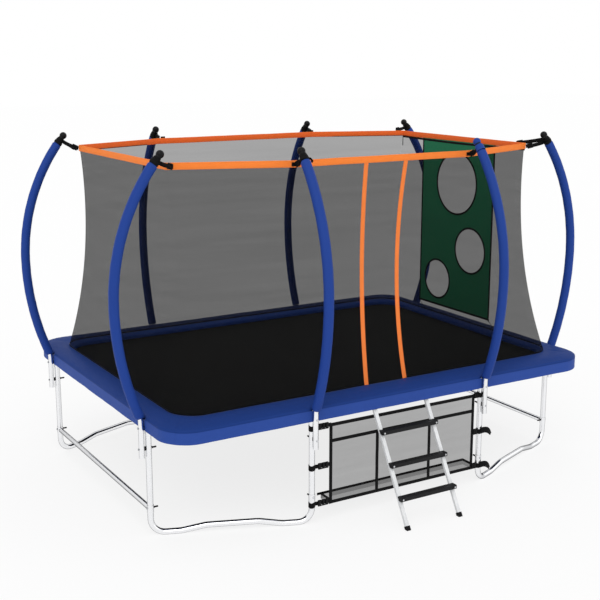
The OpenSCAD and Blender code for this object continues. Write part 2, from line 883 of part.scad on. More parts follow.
// the ring band's outline, d outside its middle line
function mitred(n1, n2) = (n1 + n2) / (1 + n1 * n2);
slope_n = unit([ring_y - ring_end_y, ring_x - ring_kink_x]);
function kink(d) = [ring_kink_x, ring_y] + d * mitred([0, 1], slope_n);
function corner(d) = [ring_x, ring_end_y] + d * mitred(slope_n, [1, 0]);

module band_long() {
  t = band_t / 2;
  side = [corner(t), kink(t)];
  under = [kink(-t), corner(-t)];
  translate([0, 0, band_z]) linear_extrude(band_h)
    polygon(concat(side, flip_x(reversed(side)), flip_x(reversed(under)), under));
}

module band_back() {
  color("darkorange") at_bed() band_long();
}

module band_front() {
  color("darkorange") at_bed() mirror([0, 1, 0]) band_long();
}

module band_short() {
  t = band_t / 2;
  side = [corner(t), corner(-t)];
  translate([0, 0, band_z]) linear_extrude(band_h)
    polygon(concat(side, flip_y(reversed(side))));
}

module band_right() {
  color("darkorange") at_bed() band_short();
}

module band_left() {
  color("darkorange") at_bed() mirror([1, 0, 0]) band_short();
}

// Target panel. A hole is its place along Y, its height and its radius.

target_holes = [
  [0, mix(panel_z, panel_top, 0.756), hole_a_r],
  [-210, mix(panel_z, panel_top, 0.3768), hole_b_r],
  [235, mix(panel_z, panel_top, 0.1630), hole_c_r]
];

module at_panel() {
  at_bed() translate([0, panel_shift, 0]) children();
}

module target_cuts(extra) {
  for (h = target_holes)
    rod([panel_x - 20, h.x, h.y], [panel_x + 20, h.x, h.y], h.z + extra);
}

module target_panel() {
  w = panel_w / 2 - binding_w;
  color("#1e6e4b") at_panel() difference() {
    translate([panel_x, -w, panel_z + binding_w])
      cube([panel_t, 2 * w, panel_top - panel_z - binding_w]);
    target_cuts(binding_w);
  }
}

module target_binding() {
  w = panel_w / 2;
  h = panel_top - panel_z;
  inner = w - binding_w;
  color("black") at_panel() {
    difference() {
      translate([panel_x, -w, panel_z]) cube([panel_t, 2 * w, h]);
      translate([panel_x - 1, -inner, panel_z + binding_w]) cube([panel_t + 2, 2 * inner, h]);
    }
    for (c = target_holes) difference() {
      rod([panel_x, c.x, c.y], [panel_x + panel_t, c.x, c.y], c.z + binding_w);
      rod([panel_x - 1, c.x, c.y], [panel_x + panel_t + 1, c.x, c.y], c.z);
    }
  }
}

module target_ties() {
  tie_r = 2;
  color("black") at_panel() for (s = [-1, 1])
    rod([panel_x + tie_r, s * (panel_w / 2 - 6), panel_z - 0.7 * tie_r - clear],
        [foot_x - net_t - 4, s * (panel_w / 2 + 5), net_z + 3], tie_r);
}

// Storage bag between the two front legs, made as bag_x along X and outwards from the leg plane

bag_face = rail_y + 2.5;
sheet_t = 2;
strap_zs = [bag_z1 - 10, (bag_z0 + bag_z1) / 2, bag_z0 + 25];
bag_w = bag_x1 - bag_x0;

// a box in the front side's frame: x is outwards, y runs to the right
module bag_box(x, y, z, dx, dy, dz) {
  translate([x, y, z]) cube([dx, dy, dz]);
}

module storage_net() {
  color("gray", 0.6) at_side(270) union() {
    bag_box(bag_face - sheet_t, bag_x0, bag_z0, sheet_t, bag_w, bag_z1 - bag_z0);
    bag_box(bag_face - bag_d, bag_x0, bag_z0, bag_d, bag_w, sheet_t);
    bag_box(bag_face - bag_d, bag_x0, bag_z0, sheet_t, bag_w, 60);
    for (y = [bag_x0, bag_x1 - sheet_t]) bag_box(bag_face - bag_d, y, bag_z0, bag_d, sheet_t, 60);
  }
}

module storage_webbing() {
  w = webbing_w;
  h = bag_z1 - bag_z0;
  t = 2.5;
  x = bag_face;
  color("black") at_side(270) union() {
    difference() {
      bag_box(x, bag_x0, bag_z0, t, bag_w, h);
      bag_box(x - 1, bag_x0 + w, bag_z0 + w, t + 2, bag_w - 2 * w, h - 2 * w);
    }
    bag_box(x, bag_x0 + w - 1, bag_z0 + h * 0.76, t, bag_w - 2 * w + 2, w);
    for (share = [0.315, 0.675])
      bag_box(x, bag_x0 + bag_w * share - w / 2, bag_z0 + w - 1, t, w, h * 0.76 - w + 2);
  }
}

module storage_straps() {
  loop_r = leg_r + clear;
  gap_left = long_leg_x + bag_x0;
  gap_right = long_leg_x - bag_x1;
  color("black") at_side(270) for (z = strap_zs, s = [-1, 1]) {
    // the gap from a leg's axis to the bag's edge
    reach = s < 0 ? gap_left : gap_right;
    translate([rail_y, s * long_leg_x, z]) difference() {
      union() {
        translate([0, 0, -12]) cylinder(r = loop_r + 2.5, h = 24);
        translate([-1.2, s < 0 ? leg_r : -reach + clear, -10])
          cube([2.4, reach - leg_r - clear, 20]);
        translate([-5, s * (-leg_r - 18) - 13, -13]) cube([10, 26, 26]);
      }
      translate([0, 0, -20]) cylinder(r = loop_r, h = 40);
    }
  }
}

// Ladder. A rail's frame has Z along the rail, X outwards and Y to the right.

module at_ladder_rail(s) {
  at_side(270)
    translate([ladder_foot, s * ladder_y, 0])
      rotate([0, -ladder_lean, 0])
        children();
}

ladder_len = ladder_top_z / cos(ladder_lean);
function ladder_x(z) = ladder_foot - z * tan(ladder_lean);
// distance from a rail's middle line out to its front face, measured level
face_x = ladder_d / 2 / cos(ladder_lean);

module ladder_rails() {
  color("gainsboro") difference() {
    for (s = [-1, 1]) at_ladder_rail(s) difference() {
      translate([-ladder_d / 2, -ladder_w / 2, ladder_from])
        cube([ladder_d, ladder_w, ladder_len - ladder_from]);
      translate([-ladder_d / 2 + wall, -ladder_w / 2 + wall, ladder_from - 1])
        cube([ladder_d - 2 * wall, ladder_w - 2 * wall, ladder_len]);
      translate([0, 0, ladder_len - 30]) rod([-ladder_d, 0, 0], [ladder_d, 0, 0], 2.5 + clear);
    }
    step_bolt_rods(3 + clear);
  }
}

module step_bolt_rods(r) {
  at_side(270) for (i = [0:2], s = [-1, 1]) {
    z = step_z + i * step_rise;
    rod([ladder_x(z) - 40, s * ladder_y, z], [ladder_x(z) + 90, s * ladder_y, z], r);
  }
}

module ladder_steps() {
  half = step_t / 2;
  color("#202020") difference() {
    at_side(270) for (i = [0:2]) {
      z = step_z + i * step_rise;
      // the back edge follows the rails' slope
      back_lo = ladder_x(z - half) + face_x + clear;
      back_hi = ladder_x(z + half) + face_x + clear;
      front = back_lo + step_d - half;
      translate([0, step_l / 2, 0]) rotate([90, 0, 0]) linear_extrude(step_l) polygon([
        [back_lo, z - half], [front, z - half], [front, z + half], [back_hi, z + half]
      ]);
    }
    step_bolt_rods(3 + clear);
  }
}

module ladder_feet() {
  color("black") difference() {
    for (s = [-1, 1]) at_ladder_rail(s) difference() {
      translate([-ladder_d / 2 - sleeve, -ladder_w / 2 - sleeve, -boot_top])
        cube([ladder_d + 2 * sleeve, ladder_w + 2 * sleeve, 2 * boot_top]);
      translate([-ladder_d / 2 - clear, -ladder_w / 2 - clear, ladder_from - clear])
        cube([ladder_d + 2 * clear, ladder_w + 2 * clear, boot_top]);
    }
    translate([-bed_l, -2 * bed_w, -200]) cube([2 * bed_l, 3 * bed_w, 200]);
  }
}

module ladder_hooks() {
  insert_l = 45;
  proud = 12;
  insert_w = ladder_w - 2 * wall - 1;
  color("silver") difference() {
    union() {
      at_side(270) for (s = [-1, 1]) translate([rail_y, s * ladder_y, rail_z]) {
        rotate([90, 0, 0]) translate([0, 0, -hook_w / 2])
          rotate_extrude(start = -hook_a, angle = 230 + hook_a - 20)
            translate([hook_r, 0]) square([hook_t, hook_w]);
        // from the hook's outer end down to the ladder rail's top
        rotate([0, hook_a, 0]) translate([hook_r + swell, -hook_w / 2 + swell, -hook_drop])
          cube([hook_t - 2 * swell, hook_w - 2 * swell, hook_drop + lap]);
      }
      for (s = [-1, 1]) at_ladder_rail(s)
        translate([-hook_t / 2, -insert_w / 2, ladder_len - insert_l])
          cube([hook_t, insert_w, insert_l + proud]);
    }
    for (s = [-1, 1]) at_ladder_rail(s)
      translate([0, 0, ladder_len - 30]) rod([-20, 0, 0], [20, 0, 0], 2.5 + clear);
  }
}

module ladder_bolts() {
  color("gainsboro") {
    at_side(270) for (i = [0:2], s = [-1, 1]) {
      z = step_z + i * step_rise;
      front = ladder_x(z - step_t / 2) + face_x + clear + step_d - step_t / 2;
      back = ladder_x(z) - face_x - 6;
      rod([back - 5, s * ladder_y, z], [front + clear + 1, s * ladder_y, z], 3);
      rod([front + clear, s * ladder_y, z], [front + clear + 4, s * ladder_y, z], 6.5);
      rod([back - 5, s * ladder_y, z], [back, s * ladder_y, z], 5.5);
    }
    for (s = [-1, 1]) at_ladder_rail(s) translate([0, 0, ladder_len - 30]) {
      out = ladder_d / 2 + clear;
      rod([-out, 0, 0], [out, 0, 0], 2.5);
      rod([out, 0, 0], [out + 2.5, 0, 0], 5);
      rod([-out - 2.5, 0, 0], [-out, 0, 0], 5);
    }
  }
}

module rail_front() { rail_long(270); }
module rail_back() { rail_long(90); }
module rail_left() { rail_short(180); }
module rail_right() { rail_short(0); }

rail_front();
rail_back();
rail_left();
rail_right();
leg_base_front_left();
leg_base_front_right();
leg_base_back_left();
leg_base_back_right();
leg_uprights();
braces();
pole_lowers();
pole_uppers(270);  // pole_uppers_front
pole_uppers(90);  // pole_uppers_back
pole_uppers(180);  // pole_uppers_left
pole_uppers(0);  // pole_uppers_right
foam(270);  // foam_front
foam(90);  // foam_back
foam(180);  // foam_left
foam(0);  // foam_right
pole_caps();
cap_straps();
strap_buckles();
pole_spacers();
frame_bolts();
cap_nuts();
mat();
mat_rings();
springs();
pad_side(270);  // pad_front
pad_side(90);  // pad_back
pad_end(180);  // pad_left
pad_end(0);  // pad_right
skirt(270);  // skirt_front
skirt_flap();
skirt(90);  // skirt_back
skirt(180);  // skirt_left
skirt(0);  // skirt_right
net_left();
net_right();
net_back();
net_front_left();
net_front_right();
door();
door_tapes();
band_front();
band_back();
band_left();
band_right();
target_panel();
target_binding();
target_ties();
storage_net();
storage_webbing();
storage_straps();
ladder_rails();
ladder_steps();
ladder_feet();
ladder_hooks();
ladder_bolts();
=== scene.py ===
import math
import bmesh
import bpy
import numpy as np
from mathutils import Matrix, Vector, geometry


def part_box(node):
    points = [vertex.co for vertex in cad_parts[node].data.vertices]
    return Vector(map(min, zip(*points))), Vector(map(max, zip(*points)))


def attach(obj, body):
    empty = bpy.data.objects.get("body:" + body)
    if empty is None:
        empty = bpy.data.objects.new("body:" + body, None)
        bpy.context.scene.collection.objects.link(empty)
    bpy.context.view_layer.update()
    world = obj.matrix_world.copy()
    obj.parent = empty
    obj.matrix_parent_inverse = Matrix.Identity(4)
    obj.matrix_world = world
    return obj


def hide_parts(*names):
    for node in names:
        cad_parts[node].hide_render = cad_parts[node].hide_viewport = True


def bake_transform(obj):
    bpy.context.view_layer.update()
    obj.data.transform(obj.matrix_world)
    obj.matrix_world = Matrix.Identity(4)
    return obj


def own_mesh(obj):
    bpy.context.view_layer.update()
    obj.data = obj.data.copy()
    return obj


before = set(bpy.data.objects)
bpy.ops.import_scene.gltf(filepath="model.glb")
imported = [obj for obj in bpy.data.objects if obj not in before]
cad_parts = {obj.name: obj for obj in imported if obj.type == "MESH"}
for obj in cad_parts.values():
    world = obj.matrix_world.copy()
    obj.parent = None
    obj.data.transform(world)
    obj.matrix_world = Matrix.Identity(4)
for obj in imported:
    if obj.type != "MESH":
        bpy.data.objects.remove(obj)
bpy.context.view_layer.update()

scene = bpy.context.scene
scene.view_settings.view_transform = "Standard"

# The bed, in metres. Sides are named from the ladder's side; a side's own frame has +X outwards.
padBox = {side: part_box("pad_" + side) for side in ("left", "right", "front", "back")}
bed = {
    "halfLength": (padBox["right"][1].x - padBox["left"][0].x) / 2,
    "halfWidth": (padBox["back"][1].y - padBox["front"][0].y) / 2,
    "middleY": (padBox["back"][1].y + padBox["front"][0].y) / 2,
    "padZ": padBox["left"][0].z, "padTop": padBox["left"][1].z,
    "cornerR": 0.225, "innerR": 0.170, "endWidth": 0.201, "sideWidth": 0.263,
    "railIn": 0.029, "railR": 0.019, "railZ": padBox["left"][0].z - 0.0193,
    "endLeg": 0.942, "sideLeg": 0.754, "legR": 0.021,
}
railX, railY = bed["halfLength"] - bed["railIn"], bed["halfWidth"] - bed["railIn"]
railCorner = bed["cornerR"] - bed["railIn"]
sideAngle = {"right": 0, "back": 90, "left": 180, "front": 270}
tau = 2 * math.pi
outwards, sideways, upward = np.identity(3)


def isEnd(side):
    return side in ("left", "right")


# points of a side's frame, in the trampoline's
def place(points, side):
    a = math.radians(sideAngle[side])
    c, s = math.cos(a), math.sin(a)
    x, y, z = np.moveaxis(np.asarray(points, float), -1, 0)
    return np.stack([x * c - y * s, x * s + y * c + bed["middleY"], z], -1)


# both legs of a side: x, y and which of the two
def legPlaces(side):
    out, off = (railX, bed["endLeg"]) if isEnd(side) else (railY, bed["sideLeg"])
    return [(out, s * off, s) for s in (-1, 1)]


def mix(a, b, t):
    return a + (b - a) * t


def unit(v):
    v = np.asarray(v, float)
    return v / np.linalg.norm(v, axis=-1, keepdims=True)


# n angles round a full turn
def fullTurn(n):
    return np.arange(n) / n * tau


# the distance along a path at each of its points
def runOf(path):
    return np.concatenate([[0], np.cumsum(np.linalg.norm(np.diff(path, axis=0), axis=1))])


# a path with points at even steps
def fine(points, step=0.02):
    points = np.asarray(points, float)
    run = runOf(points)
    at = np.linspace(0, run[-1], max(2, int(run[-1] / step) + 1))
    return np.stack([np.interp(at, run, points[:, k]) for k in range(3)], 1)


# a smooth, repeatable unevenness along s, from -1 to 1
def drift(s, seed, longest=0.6, terms=5):
    dice = np.random.RandomState(seed)
    total = np.zeros_like(np.asarray(s, float))
    for k in range(terms):
        total = total + np.sin(tau * s * 1.7 ** k / longest + dice.uniform(0, tau)) * 0.62 ** k
    return total / 2.2


# Camera

eye = {"place": (-4.5244, -7.3885, 3.2608), "yaw": 0.5392, "down": 0.22305, "lens": 65.54}
camera = bpy.data.objects.new("Camera", bpy.data.cameras.new("Camera"))
camera.data.sensor_width, camera.data.lens, camera.data.clip_end = 36, eye["lens"], 200
camera.location = eye["place"]
camera.rotation_euler = (math.pi / 2 - eye["down"], 0, -eye["yaw"])
scene.collection.objects.link(camera)
scene.camera = camera


# Finishes

class Wire:
    # one output of a node, for sums in plain Python
    def __init__(self, finish, socket):
        self.finish, self.socket = finish, socket

    def sum(self, operation, *values):
        return self.finish.node("Math", {"operation": operation}, dict(enumerate(values)))

    def __add__(self, other): return self.sum("ADD", self, other)
    def __radd__(self, other): return self.sum("ADD", other, self)
    def __sub__(self, other): return self.sum("SUBTRACT", self, other)
    def __rsub__(self, other): return self.sum("SUBTRACT", other, self)
    def __mul__(self, other): return self.sum("MULTIPLY", self, other)
    def __rmul__(self, other): return self.sum("MULTIPLY", other, self)
    def __mod__(self, other): return self.sum("MODULO", self, other)
    def sine(self): return self.sum("SINE", self)
    def size(self): return self.sum("ABSOLUTE", self)
    def above(self, level): return self.sum("GREATER_THAN", self, level)
    def larger(self, other): return self.sum("MAXIMUM", self, other)


class Finish:
    # the nodes of a material, or of a world
    def __init__(self, name, kept="materials"):
        self.holder = getattr(bpy.data, kept).new(name)
        self.holder.use_nodes = True
        self.tree = self.holder.node_tree
        self.tree.nodes.clear()

    def node(self, kind, settings=None, values=None, output=0):
        made = self.tree.nodes.new("ShaderNode" + kind)
        for key, value in (settings or {}).items():
            setattr(made, key, value)
        for key, value in (values or {}).items():
            socket = made.inputs[key]
            if isinstance(value, Wire):
                self.tree.links.new(value.socket, socket)
            elif socket.type == "RGBA" and len(value) == 3:
                socket.default_value = (*value, 1)
            else:
                socket.default_value = value
        return Wire(self, made.outputs[output]) if len(made.outputs) else made

    def surfacePlace(self):
        return self.node("UVMap", {"uv_map": "surface"})

    def solidPlace(self):
        return self.node("TexCoord", output="Object")

    def parts(self, vector):
        made = self.node("SeparateXYZ", {}, {0: vector})
        return [Wire(self, out) for out in made.socket.node.outputs]

    def noise(self, where, scale, detail=3.0, rough=0.55):
        values = {"Vector": where, "Scale": scale, "Detail": detail, "Roughness": rough}
        return self.node("TexNoise", {}, values)

    def mixed(self, factor, a, b):
        return self.node("Mix", {"data_type": "RGBA"}, {0: factor, 6: a, 7: b}, 2)

    def bump(self, height, distance, **more):
        return self.node("Bump", {}, {"Height": height, "Distance": distance, **more})

    # 1 where something looks straight at it, or by way of metal or glass
    def seen(self):
        rays = ("Camera", "Glossy", "Transmission")
        looks = [self.node("LightPath", output="Is " + ray + " Ray") for ray in rays]
        return looks[0].larger(looks[1]).larger(looks[2])

    def shade(self, **values):
        named = {key.replace("_", " "): value for key, value in values.items()}
        return self.show(self.node("BsdfPrincipled", {}, named))

    def show(self, shader, output="OutputMaterial"):
        self.node(output, {}, {0: shader})
        return self


def scaled(colour, k):
    return tuple(min(1.0, c * k) for c in colour)


def clothFinish(name, colour, pitch, rough=0.6, relief=0.0004, shine=0.2, variety=0.12, crinkle=0.0012):
    f = Finish(name)
    where = f.surfacePlace()
    u, v, _ = f.parts(f.surfacePlace())
    weave = ((u * (tau / pitch)).sine() * (v * (tau / pitch)).sine()) * 0.5 + 0.5
    cloudy, dust = f.noise(where, 2.2, 4), f.noise(where, 38, 3)
    tone = cloudy * 0.6 + dust * 0.15 + weave * 0.25
    creases = f.bump(f.noise(where, 9, 4, 0.6), crinkle, Strength=1.0)
    return f.shade(
        Base_Color=f.mixed(tone, scaled(colour, 1 - variety), scaled(colour, 1 + variety)),
        Roughness=dust * 0.12 + (rough - 0.06), Specular_IOR_Level=shine,
        Normal=f.bump(weave, relief, Strength=0.8, Normal=creases))


def steelFinish(name, colour=(0.90, 0.905, 0.92), rough=0.13, grain=140.0):
    f = Finish(name)
    where = f.solidPlace()
    spangle = f.node("TexVoronoi", {"feature": "F1"}, {"Vector": where, "Scale": grain}, "Color")
    cloudy, dust = f.noise(where, 7, 4), f.noise(where, 60, 3)
    light = f.parts(spangle)[0] * 0.35 + cloudy * 0.65
    return f.shade(
        Base_Color=f.mixed(light, scaled(colour, 0.93), scaled(colour, 1.05)), Metallic=1.0,
        Specular_Tint=(0.035, 0.035, 0.04), Roughness=dust * 0.12 + (rough - 0.06),
        Normal=f.bump(dust * 0.5 + light * 0.5, 0.00006, Strength=1.0))


def plasticFinish(name, colour, rough=0.42, relief=0.0002, grain=260.0, shine=0.13):
    f = Finish(name)
    where = f.solidPlace()
    pitted, cloudy = f.noise(where, grain, 2), f.noise(where, 12, 4)
    return f.shade(
        Base_Color=f.mixed(cloudy, scaled(colour, 0.8), scaled(colour, 1.2)), Specular_IOR_Level=shine,
        Roughness=pitted * 0.16 + cloudy * 0.1 + (rough - 0.13), Normal=f.bump(pitted, relief, Strength=1.0))


# open knitted mesh: cover is the share of light that it stops, less by 0.3 in the airy stretch across it
def meshFinish(name, colour, cover, pitch=0.011, airy=None):
    f = Finish(name)
    where = f.surfacePlace()
    u, v, _ = f.parts(where)
    knots = ((u + v) * (tau / pitch)).sine() * ((u - v) * (tau / pitch)).sine()
    drawn = f.node("VectorMath", {"operation": "MULTIPLY"}, {0: where, 1: (16, 0.7, 1)})
    opaque = knots * 0.13 + (f.noise(drawn, 1.0, 3) - 0.5) * 0.09 + cover
    if airy:
        opaque = opaque - (u.above(airy[0]) - u.above(airy[1])) * 0.3
    return f.shade(
        Base_Color=f.mixed(f.noise(where, 3.0, 4), scaled(colour, 0.85), scaled(colour, 1.15)),
        Roughness=0.9, Specular_IOR_Level=0.03, Alpha=opaque, Normal=f.bump(knots, 0.0005, Strength=1.0))


# woven tape: ribs across it, two rows of stitches, and its inner face in a deeper colour that is painted
# shade
def tapeFinish(name, colour, width, thick, inner=(1, 1, 1), stitch=1.25, rough=0.62, shine=0.2):
    f = Finish(name)
    u, v, _ = f.parts(f.surfacePlace())
    half = math.pi * thick / 2 + width - thick
    ribs = (v * (tau / 0.0022)).sine() * 0.5 + 0.5
    dashes = (v * (tau / 0.006)).sine().above(-0.3)
    off = (u % half - half / 2 - math.pi * thick / 4).size()
    seam = (0.0009 - (off - width * 0.36).size()).above(0) * dashes
    cloudy = f.noise(f.surfacePlace(), 14, 4)
    tone = cloudy * 0.7 + ribs * 0.3
    # inner deepens the colour of the tape's inner face: painted shade on the same cloth
    faceColoursWithShadedInside = [tuple(c * k for c, k in zip(colour, face)) for face in ((1, 1, 1), inner)]
    outside, inside = (f.mixed(tone, scaled(shade, 0.88), scaled(shade, 1.1)) for shade in faceColoursWithShadedInside)
    cloth = f.mixed(u.above(half + 0.001), outside, inside)
    return f.shade(
        Base_Color=f.mixed(seam, cloth, scaled(colour, stitch)), Roughness=cloudy * 0.1 + (rough - 0.05),
        Specular_IOR_Level=shine, Normal=f.bump(ribs * 0.6 + seam, 0.0005, Strength=1.0))


finishes = {
    "steel": (steelFinish("galvanisedTube"), "galvanised_steel"),
    "zinc": (steelFinish("zincPlate", (0.66, 0.67, 0.69), 0.32, 420.0), "zinc_plate"),
    "spring": (steelFinish("springWire", (0.6, 0.61, 0.63), 0.3, 600.0), "zinc_plate"),
    "ladderPaint": (plasticFinish("ladderPaint", (0.72, 0.73, 0.74), 0.38, 0.00012, 320.0, 0.3),
                    "ladder_paint"),
    "step": (plasticFinish("stepTread", (0.012, 0.012, 0.013), 0.5, 0.0004, 520.0), "step_black"),
    "plastic": (plasticFinish("blackPlastic", (0.0052, 0.0052, 0.0056)), "black_plastic"),
    "rubber": (plasticFinish("blackRubber", (0.0050, 0.0050, 0.0054), 0.75), "black_rubber"),
    "foam": (clothFinish("blueSleeveCloth", (0.0150, 0.050, 0.262), 0.003, 0.5, 0.0002, 0.10, crinkle=0.0010),
             "blue_foam_cover"),
    # the pad cover is the skirt's blue made darker: painted shade on its top faces, which are the same fabric
    "pad": (clothFinish("bluePadClothShadedTop", (0.0105, 0.038, 0.190), 0.003, 0.58, 0.00025, 0.08, crinkle=0.0016),
            "pad_vinyl"),
    "skirt": (clothFinish("blueSkirtCloth", (0.022, 0.064, 0.3), 0.003, 0.58, 0.00025, 0.14, crinkle=0.0014),
              "skirt_fabric"),
    "mat": (clothFinish("blackMatWeave", (0.0150, 0.0150, 0.0145), 0.006, 0.7, 0.0006, 0.03, 0.25, 0.0010),
            "mat_fabric"),
    "net": (meshFinish("blackNetMesh", (0.0045, 0.0045, 0.0045), 0.626), "net_mesh"),
    "bagNet": (meshFinish("blackBagMesh", (0.014, 0.014, 0.014), 0.54, 0.009, (0.604, 0.713)), "net_mesh"),
    "target": (clothFinish("greenTargetCloth", (0.013, 0.172, 0.078), 0.003, 0.6, 0.0003), "target_fabric"),
    # the last colour factors darken the band's inner face: painted shade
    "orange": (tapeFinish("orangeTape", (0.97, 0.228, 0.034), 0.048, 0.0036, (1.04, 0.66, 0.70), 0.85),
               "orange_tape"),
    "orangeStrip": (tapeFinish("orangeStrip", (0.95, 0.225, 0.045), 0.036, 0.0032, stitch=0.85),
                    "orange_tape"),
    "webbing": (tapeFinish("blackWebbing", (0.0048, 0.0048, 0.0052), 0.026, 0.0022, stitch=1.6, shine=0.08),
                "black_webbing"),
    "binding": (tapeFinish("blackBinding", (0.0046, 0.0046, 0.0050), 0.014, 0.0034, stitch=1.5, shine=0.08),
                "black_webbing"),
}
print("finishes made")


# Mesh making

class Skin:
    # the faces of one piece; surface coordinates are in metres
    def __init__(self):
        self.points, self.faces, self.surface = [], [], []

    # rows of points in a side's frame
    def grid(self, side, rows, ring=False, loop=False, caps=False):
        rows = place(rows, side)
        n, m, _ = rows.shape
        start = len(self.points)
        self.points += rows.reshape(-1, 3).tolist()
        nextRow = np.roll(rows, -1, 0) if loop else rows[1:]
        along = np.linalg.norm(nextRow - rows[:len(nextRow)], axis=2).mean(1)
        nextCol = np.roll(rows, -1, 1) if ring else rows[:, 1:]
        across = np.linalg.norm(nextCol - rows[:, :nextCol.shape[1]], axis=2).mean(0)
        v = np.concatenate([[0], np.cumsum(along)])
        u = np.concatenate([[0], np.cumsum(across)])
        for i in range(len(along)):
            for j in range(len(across)):
                cell = ((i, j), (i, j + 1), (i + 1, j + 1), (i + 1, j))
                self.faces.append(tuple(start + a % n * m + b % m for a, b in cell))
                self.surface += [(u[b], v[a]) for a, b in cell]
        if caps:
            for i, k in ((0, 0), (n - 1, -1)):
                self.faces.append(tuple(range(start + i * m, start + i * m + m)))
                self.surface += [(u[j], v[k]) for j in range(m)]
        return self

    def build(self, name, finish, body="frame", replaced=(), crisp=40, shell=True):
        mesh = bpy.data.meshes.new(name)
        mesh.from_pydata(self.points, [], self.faces)
        mesh.uv_layers.new(name="surface").data.foreach_set("uv", np.array(self.surface, np.float32).ravel())
        if shell:
            work = bmesh.new()
            work.from_mesh(mesh)
            bmesh.ops.recalc_face_normals(work, faces=work.faces)
            work.to_mesh(mesh)
            work.free()
        mesh.shade_smooth()
        mesh.set_sharp_from_angle(angle=math.radians(crisp))
        cover, slot = finishes[finish]
        mesh.materials.append(cover.holder)
        made = bpy.data.objects.new(name, mesh)
        scene.collection.objects.link(made)
        if body:
            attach(made, body)
        if replaced:
            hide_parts(*replaced)
        return made


# rows of a profile carried along a path; across is the profile's first axis
def sweep(path, profile, across, loop=False):
    path, profile = np.asarray(path, float), np.asarray(profile, float)
    ahead = unit(np.roll(path, -1, 0) - np.roll(path, 1, 0) if loop else np.gradient(path, axis=0))
    across = np.broadcast_to(np.asarray(across, float), path.shape)
    side = unit(across - ahead * (across * ahead).sum(1, keepdims=True))
    up = np.cross(ahead, side)
    if profile.ndim == 2:
        profile = np.broadcast_to(profile, (len(path), *profile.shape))
    return path[:, None] + side[:, None] * profile[..., :1] + up[:, None] * profile[..., 1:]


def circle(r, n):
    a = fullTurn(n)
    return np.stack([np.cos(a), np.sin(a)], 1) * r


# the outline of a flat tape with soft edges
def tapeOutline(width, thick):
    w, t = width / 2, thick / 2
    turn = np.linspace(-math.pi / 2, math.pi / 2, 5)
    right = np.stack([w - t + t * np.cos(turn), t * np.sin(turn)], 1)
    return np.concatenate([right, -right])


# a strap laid along points of a side's frame, with its width along across
def strap(skin, side, path, width, thick, across, loop=False):
    rows = sweep(path, tapeOutline(width, thick), across, loop)
    return skin.grid(side, rows, ring=True, loop=loop, caps=not loop)


# a block with bevelled edges, its length along the first axis
def block(skin, side, centre, axes, length, width, thick, bevel=0.0015):
    ax, ay, az = (unit(a) for a in axes)
    soft = 0.35 * bevel
    rows = []
    for along, inset in ((0, bevel), (soft, soft), (bevel, 0), (length - bevel, 0), (length - soft, soft),
                         (length, bevel)):
        w, t = width / 2 - inset, thick / 2 - inset
        corners = [(w - bevel, t), (w, t - bevel), (w, bevel - t), (w - bevel, -t),
                   (bevel - w, -t), (-w, bevel - t), (-w, t - bevel), (bevel - w, t)]
        rows.append([centre + ax * (along - length / 2) + ay * y + az * z for y, z in corners])
    skin.grid(side, rows, ring=True, caps=True)


# Steel and plastic parts keep their shapes and get their finishes
keptParts = {
    "steel": ["leg_uprights", "braces", "pole_lowers",
              *(kind + side for kind in ("rail_", "pole_uppers_") for side in sideAngle),
              *("leg_base_" + end + side for end in ("front_", "back_") for side in ("left", "right"))],
    "zinc": ["frame_bolts", "ladder_bolts", "ladder_hooks", "mat_rings"],
    "plastic": ["pole_caps", "pole_spacers", "cap_nuts"],
    "ladderPaint": ["ladder_rails"], "step": ["ladder_steps"], "rubber": ["ladder_feet"],
}
for finishName, names in keptParts.items():
    for nodeName in names:
        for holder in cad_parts[nodeName].material_slots:
            holder.material = finishes[finishName][0].holder
print("steel parts dressed")


# Poles: foam sleeves, cap straps and buckles

pole = {"gap": 0.050, "bowZ": 1.650, "bowOut": 0.160, "tipZ": 2.618, "tipIn": 0.195, "bendR": 0.080,
        "ballR": 0.028}
sleeve = {"r": 0.036, "cloth": 0.0012, "bore": 0.0193, "bare": 0.080, "slip": 0.024, "lip": 0.006,
          "wave": 0.0007, "pucker": 0.0006, "puckerPitch": 0.021, "puckerRun": 0.12, "seam": 0.0016}
lowR = ((pole["bowZ"] - bed["padZ"]) ** 2 + pole["bowOut"] ** 2) / (2 * pole["bowOut"])
bendZ = pole["bowZ"] - math.sqrt(pole["bowOut"] * (2 * (lowR + pole["bendR"]) - pole["bowOut"]))
bendAngle = math.asin((pole["bowZ"] - bendZ) / (lowR + pole["bendR"]))
topRun = pole["bowOut"] + pole["tipIn"]
topR = ((pole["tipZ"] - pole["bowZ"]) ** 2 + topRun ** 2) / (2 * topRun)
tipAngle = math.asin((pole["tipZ"] - pole["bowZ"]) / topR)
bowX = pole["gap"] + pole["bowOut"]


# the pole's middle line in its leg's frame: negative angles are on the lower arc
def polePoint(angle):
    r = lowR if angle < 0 else topR
    return np.array([bowX - r + r * math.cos(angle), 0, pole["bowZ"] + r * math.sin(angle)])


# directions along the pole and out from its curve
def poleAxes(angle):
    return np.array([-math.sin(angle), 0, math.cos(angle)]), np.array([math.cos(angle), 0, math.sin(angle)])


